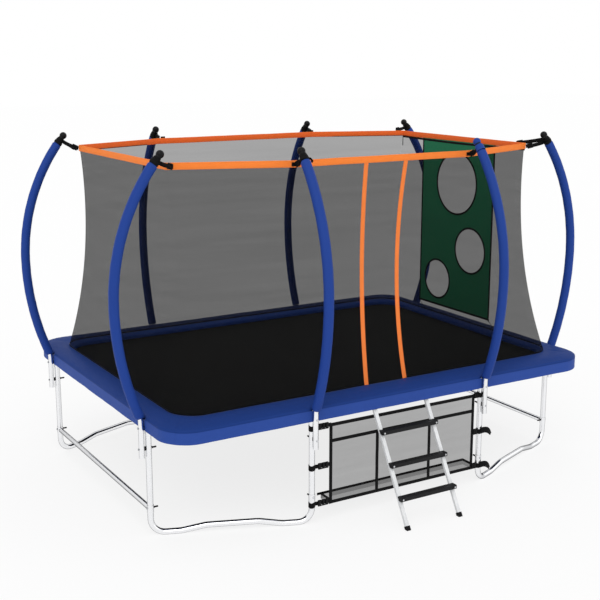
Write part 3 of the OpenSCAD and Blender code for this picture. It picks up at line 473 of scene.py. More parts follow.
def foamSleeve(skin, side, legX, legY, seed):
    # the right-hand sleeves have slipped a little lower
    lowLength = lowR * bendAngle + (sleeve["slip"] if side == "right" else 0)
    s = np.linspace(0, lowLength + topR * tipAngle - sleeve["bare"], 150)
    path = np.array([polePoint((d - lowLength) / (lowR if d < lowLength else topR)) for d in s])
    a = fullTurn(28)
    wave = sleeve["wave"] * drift(s[:, None] + 0.05 * np.sin(a), seed, 0.16, 4)
    pucker = np.sin(s[:, None] * tau / sleeve["puckerPitch"] + 2 * np.sin(a * 2 + seed))
    pucker = sleeve["pucker"] * pucker * np.exp(-s[:, None] / sleeve["puckerRun"])
    seam = sleeve["seam"] * np.exp(-((a - math.pi / 2 - 1.2) / 0.07) ** 2)
    lip = np.clip(np.minimum(s, s[-1] - s) / sleeve["lip"], 0, 1)
    lip = sleeve["lip"] * (1 - np.sqrt(1 - (1 - lip) ** 2))
    r = sleeve["r"] - sleeve["cloth"] + wave + pucker + seam - lip[:, None]
    outer = sweep(path, np.stack([r * np.cos(a), r * np.sin(a)], -1), sideways)
    bore = sweep(path, circle(sleeve["bore"], 28), sideways)
    rows = np.concatenate([outer, bore[::-6], bore[:1]]) + [legX, legY, 0]
    skin.grid(side, rows, ring=True, loop=True)


hood = {"cuff": (-0.082, -0.034), "cuffR": (0.0350, 0.0320), "neckR": 0.0300, "domeR": 0.0290, "ease": 0.0002,
        "thick": 0.0006}


# a hood of sleeve cloth over one cap: a cuff that narrows upwards, then a dome
def capHood(skin, side, legX, legY):
    tangent, outward = poleAxes(tipAngle)
    dome = np.radians(np.linspace(0, 180, 17))[2:]
    reach = np.concatenate([np.linspace(*hood["cuff"], 9), -hood["domeR"] * np.cos(dome)])
    wide = np.concatenate([np.linspace(*hood["cuffR"], 8), [hood["neckR"]],
                           hood["domeR"] * np.sin(dome) + hood["ease"]])
    a = fullTurn(28)[:, None]
    turn = outward * np.cos(a) + sideways * np.sin(a)
    middle = polePoint(tipAngle) + [legX, legY, 0]
    outside = [middle + tangent * r + turn * w for r, w in zip(reach, wide)]
    inside = [middle + tangent * r + turn * (w - hood["thick"]) for r, w in zip(reach[::-1], wide[::-1])]
    skin.grid(side, outside + inside, ring=True, loop=True)


# the net's ring band, which the caps' straps reach
band = {"halfX": 1.575, "endY": 0.830, "halfY": 1.125, "bendX": 0.765, "z": 2.502, "height": 0.048,
        "thick": 0.0036, "tieUp": 0.0215, "waver": 0.0010, "step": 0.025}
bendPoint, cornerPoint = np.array([band["bendX"], band["halfY"]]), np.array([band["halfX"], band["endY"]])
bandMiddle, bandTop = band["z"] + band["tieUp"], band["z"] + band["height"]
neckAngle = tipAngle - (sleeve["bare"] - 0.002 + pole["ballR"]) / 2 / topR
neck = polePoint(neckAngle)
# turns of webbing round a cap's neck: place along it, radius and lean
wraps = [(-0.016, 0.0318, 0.12), (-0.006, 0.0290, -0.16), (0.005, 0.0262, 0.06), (0.015, 0.0246, -0.10)]
capTie = {"wrap": 0.021, "width": 0.030, "thick": 0.0026, "clear": 0.022, "sag": 0.008, "spareWidth": 0.022,
          "spareThick": 0.0022, "buckleIn": 0.034, "bars": (0.009, 0.006, 0.009), "apart": 0.018,
          "bar": (0.037, 0.012, 0.0016), "rail": (0.045, 0.007, 0.013, 0.0016), "railUp": 0.0165,
          "tail": (0.010, 0.0018), "sewnThick": 0.0030, "fold": (0.026, 0.003)}


# a strap on edge between two points of a leg's frame, its buckle near the far end, its spare end beside it
def tether(straps, buckles, side, origin, start, end, sag=capTie["sag"], spare=True):
    length = np.linalg.norm(end - start)
    ahead = (end - start) / length
    across = unit(np.cross(ahead, upward))
    up = np.cross(across, ahead)

    def along(t):
        return origin + start + (end - start) * t - upward * sag * np.sin(math.pi * t)

    path = along(np.linspace(capTie["clear"] / length, 1, 14)[:, None])
    strap(straps, side, path, capTie["width"], capTie["thick"], up)
    if spare:
        q = np.linspace(0, 1, 8)[:, None]
        loose = path[3:11] + across * (0.006 + 0.008 * q) - upward * 0.012 * q ** 2
        strap(straps, side, loose, capTie["spareWidth"], capTie["spareThick"], up)
    middle = along(1 - capTie["buckleIn"] / length)
    for k, wide in enumerate(capTie["bars"]):
        spot = middle + ahead * capTie["apart"] * (k - 1)
        block(buckles, side, spot, (ahead, up, across), wide, *capTie["bar"])
    for lift in (-capTie["railUp"], capTie["railUp"]):
        block(buckles, side, middle + up * lift, (ahead, up, across), *capTie["rail"])


def capStraps(straps, buckles, side, legX, legY, s):
    origin = np.array([legX, legY, 0])
    tangent, outward = poleAxes(neckAngle)
    a = fullTurn(36)[:, None]
    # the hooded cap shows one turn only
    for shift, r, lean in wraps[:1] if side == "front" and s > 0 else wraps:
        turn = outward * np.cos(a) + sideways * np.sin(a) + tangent * lean * np.sin(a + shift * 200)
        path = neck + origin + tangent * shift + turn * r
        strap(straps, side, path, capTie["wrap"], capTie["thick"], tangent, True)

    def tie(start, end, **more):
        tether(straps, buckles, side, origin, start, np.asarray(end), **more)

    high, low = neck + tangent * 0.012, neck - tangent * 0.010
    if isEnd(side):
        corner = np.array([band["halfX"] - legX, s * band["endY"] - legY, bandMiddle])
        along = unit([band["bendX"] - band["halfX"], s * (band["halfY"] - band["endY"]), 0])
        out = s * np.array([along[1], -along[0], 0])
        if s > 0:
            far, lift = (0.050, 0) if side == "left" else (0.072, 0.036)
            tie(neck, corner + along * far + out * 0.006 + upward * lift)
        else:
            tie(high if side == "left" else low, corner + [0.004, 0, 0])
        if side == "right" and s < 0:
            # a second strap, to the right-hand band
            far = [band["halfX"] + 0.004 - legX, s * (band["endY"] - 0.115) - legY, bandTop - 0.008]
            tie(high, far, sag=0.004, spare=False)
        elif side == "right":
            # a tail that hangs inside the corner
            tail = corner + [-0.008, -0.008, 0] - upward * np.linspace(0.02, 0.11, 6)[:, None]
            strap(straps, side, tail + origin, *capTie["tail"], sideways)
        return
    front = side == "front"
    reach = band["halfY"] + 0.004 - legX
    tie(neck if front else high, [reach, 0, bandMiddle if front else bandTop + 0.002], spare=front)
    # the loop sewn on the band
    if front:
        middle, long, wide = (reach, 0, bandMiddle), 0.058, 0.027
    else:
        middle, long, wide = (reach, -0.030 * (s > 0), bandTop + 0.005), 0.040, 0.018
    sewn = np.array(middle) + sideways * np.linspace(-long / 2, long / 2, 5)[:, None]
    strap(straps, side, sewn + origin, wide, capTie["sewnThick"], upward)
    if front and s < 0:
        # the folded spare end
        fold = [(0.004, 0.024, 0.000), (0.012, 0.042, -0.006), (0.016, 0.056, -0.022), (0.014, 0.052, -0.034)]
        strap(straps, side, neck + fold + origin, *capTie["fold"], (1, 0, 0.3))


straps, buckles = Skin(), Skin()
seed = 0
for side in sideAngle:
    sleeves = Skin()
    for legX, legY, s in legPlaces(side):
        seed += 1
        foamSleeve(sleeves, side, legX, legY, seed)
        capStraps(straps, buckles, side, legX, legY, s)
    if side == "front":
        capHood(sleeves, side, legX, legY)
    foam = sleeves.build("foam_sleeves_" + side, "foam", replaced=["foam_" + side])
straps.build("cap_webbing", "webbing", replaced=["cap_straps"])
buckles.build("cap_buckles", "plastic", replaced=["strap_buckles"], crisp=25)
print("sleeves and cap straps made")


# Jumping mat, its webbing border and ring tabs, and the springs

mat = {"gap": 0.132, "half": 0.0012, "sag": 0.006, "webbing": 0.041, "webbingIn": 0.0245, "webbingUp": 0.0024,
       "pitch": 0.115, "loopR": 0.008, "coilR": 0.0085, "wireR": 0.0016, "turns": 15, "hook": 0.012,
       "ringHook": 0.004, "railHook": 0.006, "webbingThick": 0.0018, "tab": (0.018, 0.0014)}
matX, matY = railX - bed["railR"] - mat["gap"], railY - bed["railR"] - mat["gap"]
matR = railCorner - bed["railR"] - mat["gap"]


# a rounded outline, anticlockwise, with n points in each corner
def outline(x, y, r, n, step):
    points = []
    for k, (sx, sy) in enumerate(((1, 1), (-1, 1), (-1, -1), (1, -1))):
        for a in np.linspace(0, math.pi / 2, n) + k * math.pi / 2:
            points.append([sx * (x - r) + r * math.cos(a), sy * (y - r) + r * math.sin(a), 0])
    points.append(points[0])
    return fine(points, step)[:-1]


def matSag(x, y):
    return -mat["sag"] * (1 - (x / matX) ** 2) * (1 - (y / matY) ** 2)


# the cloth: rings of the outline shrinking to a small middle one, top and underside
shares = np.concatenate([np.linspace(1, 0.9, 4)[:-1], np.linspace(0.9, 0.03, 22), [0.0004]])
tops = outline(matX, matY, matR, 7, 0.05) * shares[:, None, None]
tops[..., 2] = matSag(tops[..., 0], tops[..., 1]) + mat["half"] + bed["railZ"]
under = tops[::-1] - upward * 2 * mat["half"]
matSkin = Skin().grid("right", np.concatenate([tops, under]), ring=True, loop=True)
# flat surface coordinates, so that the weave runs straight over the whole cloth
matSkin.surface = np.array(matSkin.points)[np.array(matSkin.faces).ravel()][:, :2].tolist()
jumpMat = matSkin.build("jumping_mat", "mat", "mat", ["mat"])

path = outline(matX - mat["webbingIn"], matY - mat["webbingIn"], matR - mat["webbingIn"], 9, 0.03)
path[:, 2] = matSag(path[:, 0], path[:, 1]) + mat["webbingUp"] + bed["railZ"]
across = np.cross(unit(np.roll(path, -1, 0) - np.roll(path, 1, 0)), upward)
border = strap(Skin(), "right", path, mat["webbing"], mat["webbingThick"], across, True)


# where a side's rounded corner has its middle
def cornerMiddle(side):
    x, y = railX - railCorner, railY - railCorner
    return (x, y) if isEnd(side) else (y, x)


# the springs of all sides: side, group, place on the mat's edge and lean in degrees
def springPlaces():
    spots = []
    for side in sideAngle:
        half = (railY if isEnd(side) else railX) - railCorner
        reach = matX if isEnd(side) else matY
        count = 2 * round(half / mat["pitch"])
        spots += [(side, side, reach, 2 * half * ((i + 0.5) / count - 0.5), 0) for i in range(count)]
        x, y = cornerMiddle(side)
        for lean in (30, 60):
            a = math.radians(lean)
            spots.append((side, side + "_corner", x + matR * math.cos(a), y + matR * math.sin(a), lean))
    return spots


# a ring's webbing tab, over the mat's edge, round the ring and back under: out from the edge, and up
tabLine = [(-0.030, 0.0046), (-0.004, 0.0046), (0.0035, 0.0025), (0.0045, 0), (0.0030, -0.0026),
           (-0.006, -0.0030)]


def springSkin(skin, tabs, side, x, y, lean):
    a = math.radians(lean)
    out, across = np.array([math.cos(a), math.sin(a), 0]), np.array([-math.sin(a), math.cos(a), 0])
    base = np.array([x, y, bed["railZ"]])
    start, end = 2 * mat["loopR"] - 0.001, mat["gap"] - mat["hook"]
    t = np.linspace(0, 1, 9 * mat["turns"])[:, None]
    turn = t * mat["turns"] * tau
    swell = np.clip(np.minimum(t, 1 - t) / 0.05, 0.15, 1) * (mat["coilR"] - mat["wireR"])
    coil = base + out * (start + 0.014 + (end - start - 0.022) * t)
    coil = coil + across * swell * np.cos(turn) + upward * swell * np.sin(turn)
    # hooks: one through the mat's ring, one over the rail's edge
    q = np.linspace(2.6, 0.2, 6)[:, None]
    r = mat["ringHook"]
    ringHook = base + out * (start + r / 2 - r * np.cos(q)) + upward * r * np.sin(q)
    q = np.linspace(0.2, 2.0, 5)[:, None]
    r = mat["railHook"]
    railHook = base + out * (end + r * q) - upward * r * q ** 2
    wire = sweep(np.concatenate([ringHook, coil, railHook]), circle(mat["wireR"], 5), across + 0.01)
    skin.grid(side, wire, ring=True, caps=True)
    tabPath = np.array([base + out * r + upward * z for r, z in tabLine])
    strap(tabs, side, tabPath, *mat["tab"], across)


springSets, tabs = {}, Skin()
for side, group, x, y, lean in springPlaces():
    springSkin(springSets.setdefault(group, Skin()), tabs, side, x, y, lean)
border.build("mat_webbing", "webbing", "mat")
tabs.build("mat_ring_tabs", "webbing", "mat")
for group, skin in springSets.items():
    side = group.split("_")[0]
    coils = skin.build("springs_" + group, "spring", None, ["springs"])
    if "corner" in group:
        middle, reach = (*cornerMiddle(side), bed["railZ"]), matR
        out = unit([1, 1, 0]) * math.cos(math.radians(15))
    else:
        middle, reach, out = (0, 0, bed["railZ"]), matX if isEnd(side) else matY, outwards
    ends = reach + mat["gap"] - mat["hook"], reach + mat["hook"]
    start, end = (tuple(place(middle + out * r, side)) for r in ends)
    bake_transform(coils)
print("mat and springs made")


# Safety pads and skirts

pad = {"crown": 0.034, "edge": 0.015, "rounding": (0.008, 0.0155), "mitre": 44.9, "notchR": 0.037,
       "wave": 0.0012, "pressure": 3.0, "stiff": 60, "mass": 0.4, "reach": 0.005, "frames": 14,
       "hemUp": 0.0068, "hemOut": 0.0016, "hemThick": 0.0022, "overlap": 0.001}
underside = [(0.995, 0.001), (0.88, 0), (0.7, 0), (0.5, 0), (0.3, 0), (0.12, 0), (0.003, 0.0003)]


def halfSizes(side):
    sizes = bed["halfLength"], bed["halfWidth"]
    return sizes if isEnd(side) else sizes[::-1]


# a point of a rounded rim, at an angle of its corner on the s side
def rim(d, w, r, s, a):
    return np.array([d - r + r * math.cos(a), s * (w - r) + r * math.sin(a), 0])


# angles round a corner, in the order from one mitre to the other
def cornerAngles(s):
    angles = np.radians(np.linspace(0, pad["mitre"], 12) * s)
    return angles[::-1] if s < 0 else angles


# stations round one side: outer and inner point of the pad
def padStations(side):
    d, w = halfSizes(side)
    din, win = (bed["endWidth"], bed["sideWidth"]) if isEnd(side) else (bed["sideWidth"], bed["endWidth"])
    first, last = ([(rim(d, w, bed["cornerR"], s, a), rim(d - din, w - win, bed["innerR"], s, a))
                    for a in cornerAngles(s)] for s in (-1, 1))
    low, high = first[-1], last[0]
    n = int((high[0][1] - low[0][1]) / 0.02)
    return first + [tuple(mix(low[k], high[k], i / n) for k in (0, 1)) for i in range(1, n)] + last


def makePad(side):
    # across the pad: share of its width, and height
    t = (1 - np.cos(np.pi * np.linspace(0, 1, 17))) / 2
    crown = pad["edge"] + (pad["crown"] - pad["edge"]) * (1 - np.abs(2 * t - 1) ** 4)
    crown[:2], crown[-2:] = pad["rounding"], pad["rounding"][::-1]
    section = np.concatenate([np.stack([t, crown], 1), underside])
    stations = padStations(side)
    rows = []
    for run, (outer, inner) in zip(runOf([outer for outer, _ in stations]), stations):
        row = outer + (inner - outer) * section[:, :1] + upward * section[:, 1:]
        lift = pad["wave"] * drift(run + section[:, 0] * 0.2, 31, 0.9, 4)
        row[:, 2] += bed["padZ"] + np.where(section[:, 1] > 0.012, lift, 0)
        # the pad's edge draws in where a pole's sleeve stands against it
        for legX, legY, s in legPlaces(side):
            beside = np.abs(row[:, 1] - legY)
            limit = legX + pole["gap"] - np.sqrt(np.maximum(0, pad["notchR"] ** 2 - beside ** 2))
            row[:, 0] = np.where(beside < pad["notchR"], np.minimum(row[:, 0], limit), row[:, 0])
        rows.append(row)
    skin = Skin().grid(side, rows, ring=True, caps=True)
    cover = skin.build("pad_cover_" + side, "pad", None, crisp=60)
    puff(cover, len(section), len(t))
    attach(cover, "frame")
    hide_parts("pad_" + side)


# air in the closed cover: the underside, the two long edges and the ends stay where they are
def puff(cover, ringSize, topSize):
    group = cover.vertex_groups.new(name="held")
    count = len(cover.data.vertices)

    def free(k):
        return ringSize <= k < count - ringSize and 1 < k % ringSize < topSize - 2

    group.add([k for k in range(count) if not free(k)], 1.0, "REPLACE")
    before = np.array([v.co for v in cover.data.vertices])
    air = cover.modifiers.new("air", "CLOTH")
    air.settings.quality, air.settings.mass = 4, pad["mass"]
    air.settings.tension_stiffness = air.settings.compression_stiffness = pad["stiff"]
    air.settings.use_pressure, air.settings.uniform_pressure_force = True, pad["pressure"]
    air.settings.effector_weights.gravity = 0
    air.settings.vertex_group_mass = "held"
    air.collision_settings.use_collision = False
    for step in range(1, pad["frames"] + 1):
        scene.frame_set(step)
    settled = cover.evaluated_get(bpy.context.evaluated_depsgraph_get()).to_mesh()
    after = np.array([v.co for v in settled.vertices])
    cover.modifiers.remove(air)
    scene.frame_set(1)
    move = after - before
    size = np.linalg.norm(move, axis=1, keepdims=True)
    move *= np.minimum(1, pad["reach"] / np.maximum(size, 1e-9))
    cover.data.vertices.foreach_set("co", (before + move).ravel())
    cover.data.update()


# the pad's inner edge hangs to just over the rail, as a hem
hemZ = bed["railZ"] + pad["hemUp"]
for side in sideAngle:
    makePad(side)
    outer, inner = (np.array(line) for line in zip(*padStations(side)))
    line = inner + unit(outer - inner) * pad["hemOut"] + upward * (bed["padZ"] + hemZ) / 2
    hem = strap(Skin(), side, line, bed["padZ"] + pad["overlap"] - hemZ, pad["hemThick"], upward)
    hem.build("pad_hem_" + side, "pad")
print("pads made")

skirtLow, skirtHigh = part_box("skirt_left")
skirt = {"top": skirtHigh.z, "low": skirtLow.z, "thick": 0.0016, "wave": 0.0022, "hem": 0.0006, "fall": 0.081,
         "flap": 0.330, "length": {"left": 2.663, "right": 2.663, "back": 3.573, "front": 2.913}}


# cloth hung from a line seen from above, in slight waves, with a doubled hem
def skirtRows(line):
    ahead = unit(np.gradient(line, axis=0))
    out = np.stack([ahead[:, 1], -ahead[:, 0], ahead[:, 2]], 1)
    drop = np.concatenate([np.linspace(0, 0.8, 7), [0.83, 0.845, 0.92, 0.985, 1.0]])[:, None, None]
    hem = np.where(drop > 0.83, skirt["hem"], 0)
    sway = drift(line[0, 1] + runOf(line), 71, 0.55, 5)[:, None] - 0.35
    wave = skirt["wave"] * sway * drop ** 1.3 - skirt["hem"]
    hung = line + upward * mix(skirt["top"], skirt["low"], drop)
    rows = np.concatenate([hung + out * (wave + hem), (hung + out * (wave - skirt["thick"] - hem))[::-1]])
    return rows.transpose(1, 0, 2)


for side in sideAngle:
    corners = [rim(*halfSizes(side), bed["cornerR"], s, a) for s in (-1, 1) for a in cornerAngles(s)]
    line = fine(corners, 0.02)
    flap, far = skirt["flap"], bed["halfLength"]
    skin = Skin()
    for low, high in [(-far, -flap), (flap, far)] if side == "front" else [(-far, far)]:
        part = line[(line[:, 1] > low) & (line[:, 1] < high)]
        if low == flap:
            part = np.concatenate([[[part[0, 0], low, 0]], part])
        if high == -flap:
            part = np.concatenate([part, [[part[-1, 0], high, 0]]])
        skin.grid(side, skirtRows(part), ring=True, caps=True)
    cloth = skin.build("skirt_cloth_" + side, "skirt", replaced=["skirt_" + side], crisp=50)
flapEdge = skirt["flap"] - 0.0006
flapLine = fine([(bed["halfWidth"], -flapEdge, 0), (bed["halfWidth"], flapEdge, 0)], 0.02)
flapSkin = Skin().grid("front", skirtRows(flapLine), ring=True, caps=True)
flapCloth = flapSkin.build("skirt_cloth_flap", "skirt", replaced=["skirt_flap"], crisp=50)
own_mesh(flapCloth)
print("skirts made")


# Safety net: walls hung between the ring band and the pad

net = {"footX": 1.675, "footY": 1.165, "footR": 0.200, "cornerR": 0.025, "neck": 0.067, "endNeck": 0.015,
       "doorX": 0.172, "lean": 0.022, "tape": 0.036, "tapeThick": 0.0032, "inset": 0.001,
       "fall": 1.6, "gather": 0.0035, "rows": 34, "tuck": 0.006, "hem": 0.010, "hemThick": 0.0016}
netZ = bed["padTop"] + 0.0003
doorEdge = net["doorX"] - net["tape"] / 2


# a point of the net at a height, drawn in at its waist
def netPoint(top, foot, z):
    v = (z - netZ) / (band["z"] - netZ)
    x, y = mix(np.asarray(foot, float), np.asarray(top, float), v)
    waist = 4 * v * (1 - v)
    endNeck = mix(net["endNeck"], net["neck"], min(1, abs(y) / band["endY"]) ** 6)
    newX = x - endNeck * waist * x / ((band["halfX"] + net["footX"]) / 2)
    newY = y - net["neck"] * waist * y / ((band["halfY"] + net["footY"]) / 2)
    # the door's right edge leans in at half its height
    if y < 0:
        newX -= net["lean"] * waist * math.exp(-((x - net["doorX"]) / 0.22) ** 2)
    return np.array([newX, newY, z])


# a column of the net: its top point, foot point and outward direction, at angle a of the corner
def cornerColumn(a):
    out = np.array([math.sin(a), math.cos(a)])
    return (cornerPoint + net["cornerR"] * (out - 1),
            np.array([net["footX"], net["footY"]]) + net["footR"] * (out - 1), out)


# n columns between two pairs of top and foot points
def columnsBetween(first, last, n, out):
    tops, feet = (np.linspace(first[k], last[k], n) for k in (0, 1))
    return [(top, foot, np.array(out)) for top, foot in zip(tops, feet)]


def longColumns(x0):
    bend = bendPoint, (band["bendX"], net["footY"])
    corner = (band["halfX"] - net["cornerR"], band["endY"]), (net["footX"] - net["footR"], net["footY"])
    columns = columnsBetween(((x0, band["halfY"]), (x0, net["footY"])), bend, 24, (0, 1.0))
    columns += columnsBetween(bend, corner, 25, (0, 1.0))[1:-1]
    return columns + [cornerColumn(a) for a in np.radians(np.linspace(0, 45, 7))]


def endColumns():
    half = [cornerColumn(a) for a in np.radians(np.linspace(45, 90, 7))]
    corner = (band["halfX"], band["endY"] - net["cornerR"]), (net["footX"], net["footY"] - net["footR"])
    half += columnsBetween(corner, ((band["halfX"], 0), (net["footX"], 0)), 30, (1.0, 0))[1:]
    return half + [mirrored(c, 1, -1) for c in half[-2::-1]]


def doorColumns(x0, x1, n=2):
    ends = [((x, -band["halfY"]), (x, -net["footY"])) for x in (x0, x1)]
    return columnsBetween(*ends, n, (0, -1.0))


def mirrored(column, sx, sy):
    return tuple(p * np.array([sx, sy]) for p in column)


# rows of net between these columns, gathered under the band; low and high shift its edges
def netSheet(columns, low=0.0, high=0.0, gather=1.0, seed=3, rows=net["rows"]):
    heights = np.linspace(netZ + low, band["z"] + high, rows)
    outs = np.array([[*out, 0] for _, _, out in columns])[:, None]
    grid = [[netPoint(top, foot, z) for z in heights] for top, foot, _ in columns]
    grid = np.array(grid) - net["inset"] * outs
    fall = (band["z"] - heights) / net["fall"]
    pull = np.exp(-fall / 0.14) * (1 - np.exp(-fall / 0.02)) + 0.35 * np.sin(math.pi * np.clip(fall, 0, 1))
    folds = drift(runOf(grid[:, -1]), seed, 0.34, 5)[:, None] - 0.5
    return grid + outs * (net["gather"] * gather * folds * pull)[..., None]


ends, halfBack, halfFront = endColumns(), longColumns(0), longColumns(net["doorX"] + net["tape"] / 2)
netWalls = {
    "right": (ends, 1, 1, (2.244, 1.64), 3.05), "left": (ends, -1, 1, (2.244, 1.64), 3.05),
    "back": ([mirrored(c, -1, 1) for c in halfBack[:0:-1]] + halfBack, 1, 1, (3.27, 1.64), 5.15),
    "front_left": (halfFront, -1, -1, (1.45, 1.64), 2.28),
    "front_right": (halfFront, 1, -1, (1.45, 1.64), 2.30),
}
hems = Skin()
for k, (wall, (columns, sx, sy, flat, area)) in enumerate(netWalls.items()):
    columns = [mirrored(c, sx, sy) for c in columns]
    sheet = Skin().grid("right", netSheet(columns, high=net["tuck"], seed=k + 3))
    made = sheet.build("net_wall_" + wall, "net", replaced=["net_" + wall], shell=False)
    "pad_cover_" + wall.split("_")[0]
    foot = netSheet(columns, high=netZ - band["z"] + net["hem"], gather=0, rows=2)
    strap(hems, "right", foot.mean(1), net["hem"], net["hemThick"], upward)
hems.build("net_foot_hems", "binding")

doorSkin = Skin().grid("right", netSheet(doorColumns(-doorEdge, doorEdge, 9), 0.0005, -0.0005, 0))
door = doorSkin.build("door_net", "net", "door", ["door"], shell=False)

tapes = Skin()
for s in (-1, 1):
    edges = netSheet(doorColumns(s * net["doorX"], s * net["doorX"] + 0.001), gather=0)
    strap(tapes, "right", edges[0], net["tape"], net["tapeThick"], outwards)
tapes.build("door_strips", "orangeStrip", replaced=["door_tapes"])


# Ring band: a folded tape round the net's top

bandPaths = {
    "front": [cornerPoint * (-1, -1), bendPoint * (-1, -1), bendPoint * (1, -1), cornerPoint * (1, -1)],
    "right": [cornerPoint * (1, -1), cornerPoint], "left": [cornerPoint * (-1, 1), cornerPoint * (-1, -1)],
    "back": [cornerPoint, bendPoint, bendPoint * (-1, 1), cornerPoint * (-1, 1)],
}
for k, (side, corners) in enumerate(bandPaths.items()):
    path = fine([(*p, band["z"] + band["height"] / 2) for p in corners], band["step"])
    held = np.sin(np.linspace(0, math.pi, len(path)))
    path[:, 2] += band["waver"] * drift(np.arange(len(path)) * band["step"], 50 + k, 0.7) * held
    bandSkin = strap(Skin(), "right", path, band["height"], band["thick"], upward)
    bandSkin.build("ring_band_" + side, "orange", replaced=["band_" + side])

# black piping under the right-hand band, hanging slightly
piping = {"in": 0.004, "width": 0.018, "thick": 0.004, "sag": 0.010}
x, y, z = band["halfX"] - piping["in"], band["endY"] - piping["in"], band["z"] - piping["in"]
path = fine([(x, -y, z), (x, y, z)], 0.05)
path[:, 2] -= piping["sag"] * np.sin(np.linspace(0, math.pi, len(path)))
pipingSkin = strap(Skin(), "right", path, piping["width"], piping["thick"], upward)
pipingSkin.build("ring_piping_right", "binding")
print("net made")


# Target panel with three holes, which hangs inside the right-hand net

target = {"halfWidth": 0.495, "low": 1.000, "high": band["z"] + 0.003, "binding": 0.018, "under": 0.006,
          "x": 1.5712, "wave": 0.0026, "shift": 0.022, "mesh": 0.03,
          "sideThick": 0.0034, "footThick": 0.0038, "holeThick": 0.0036}
tie = {"top": (1.5717, 0.489, 0.9983), "foot": (1.669, 0.500, 0.8886), "sag": 0.006, "r": 0.002,
       "knot": (0.010, 0.012, 0.006)}
rise = target["high"] - target["low"]
holes = [(0, target["low"] + rise * 0.756, 0.262), (-0.210, target["low"] + rise * 0.3768, 0.190),
         (0.235, target["low"] + rise * 0.163, 0.168)]
aside = sideways * target["shift"]


def targetX(y, z):
    held = np.sin(math.pi * np.clip((target["high"] - z) / rise, 0, 1))
    held = held * np.cos(math.pi / 2 * np.clip(y / target["halfWidth"], -1, 1)) ** 0.5
    return target["x"] - target["wave"] * (1 + drift(y + 0.4 * z, 90, 0.7, 4)) * held


# the cloth reaches a little under its binding, by this much
def targetPanel():
    edge, step = target["under"], target["mesh"]
    w, low, high = target["halfWidth"] - edge, target["low"] + edge, target["high"]
    points, edges = [], []

    def closed(corners):
        start = len(points)
        points.extend(Vector(p) for p in corners)
        edges.extend((start + i, start + (i + 1) % len(corners)) for i in range(len(corners)))

    def inHole(y, z, margin):
        return any(math.hypot(y - hy, z - hz) <= r + margin for hy, hz, r in holes)

    sides = np.array([(-w, low), (w, low), (w, high), (-w, high)])
    closed([tuple(mix(sides[k], sides[(k + 1) % 4], i / 30)) for k in range(4) for i in range(30)])
    for y, z, r in holes:
        closed([(y + (r + edge) * math.cos(a), z + (r + edge) * math.sin(a)) for a in fullTurn(72)])
    for y in np.arange(-w + step, w - 0.01, step):
        for z in np.arange(low + step, high - 0.01, step):
            if not inHole(y, z, edge + 0.012):
                points.append(Vector((y, z)))
    verts, _, faces, *_ = geometry.delaunay_2d_cdt(points, edges, [], 0, 1e-5)
    flat = np.array(verts)
    skin = Skin()
    skin.faces = [tuple(f) for f in faces if not inHole(*flat[f].mean(0), edge)]
    y, z = flat.T
    skin.points = place(np.stack([targetX(y, z), y, z], 1) + aside, "right").tolist()
    skin.surface = [(y[i], z[i]) for f in skin.faces for i in f]
    return skin.build("target_cloth", "target", replaced=["target_panel"], shell=False)


targetPanel()
bindings = Skin()
halfTape = target["binding"] / 2
w, footZ, headZ = target["halfWidth"] - halfTape, target["low"] + halfTape, target["high"] - 0.001


# binding along points of the panel's plane
def bind(path, thick, across, loop=False):
    path[:, 0] = targetX(path[:, 1], path[:, 2])
    strap(bindings, "right", path + aside, target["binding"], thick, across, loop)


edging = fine([(0, -w, headZ), (0, -w, footZ), (0, w, footZ), (0, w, headZ)])
for upright in (edging[edging[:, 1] < -w + 1e-6], edging[edging[:, 1] > w - 1e-6]):
    bind(upright, target["sideThick"], sideways)
bind(fine([(0, -w - halfTape, footZ), (0, w + halfTape, footZ)]), target["footThick"], upward)
a = fullTurn(96)
spokes = np.stack([0 * a, np.cos(a), np.sin(a)], 1)
for y, z, r in holes:
    bind(np.array([0, y, z]) + (r + halfTape) * spokes, target["holeThick"], spokes, True)
bindings.build("target_edging", "binding", replaced=["target_binding"])

# ties from the lower corners to the pad, each with a small knot
ties = Skin()
for s in (-1, 1):
    top, foot = (np.array(tie[end]) * (1, s, 1) + aside for end in ("top", "foot"))
    t = np.linspace(0, 1, 9)[:, None]
    path = top + (foot - top) * t - upward * tie["sag"] * np.sin(math.pi * t)
    ties.grid("right", sweep(path, circle(tie["r"], 8), sideways), ring=True, caps=True)
    block(ties, "right", top - upward * tie["r"], (upward, sideways, outwards), *tie["knot"])
ties.build("target_cords", "webbing", replaced=["target_ties"])
print("target made")


# Storage bag between the front legs, in the front side's frame: x outwards, y to the right

bag = {"left": -0.613, "right": 0.695, "low": 0.120, "high": 0.725, "depth": 0.112, "lip": 0.050,
       "tape": 0.026, "tapeThick": 0.0022, "lipTape": 0.020, "face": railY + 0.0025, "cross": 0.76,
       "dividers": (0.315, 0.675), "sag": 0.0015, "hollow": 0.003, "seat": 0.001, "turn": 0.012}
face, rear, tape, seat = bag["face"], bag["face"] - bag["depth"], bag["tape"], bag["seat"]
y0, y1, z0, z1 = bag["left"], bag["right"], bag["low"], bag["high"]
width, height = y1 - y0, z1 - z0


def bagSag(y):
    return np.sin(math.pi * (y - y0) / width)


# how far the bag's face lies back at a point
def bagHollow(y, z):
    bowed = np.sin(math.pi * np.clip((z - z0) / height, 0, 1))
    return bag["hollow"] * bagSag(y) * (1 + drift(z + y, 17, 0.5)) * bowed


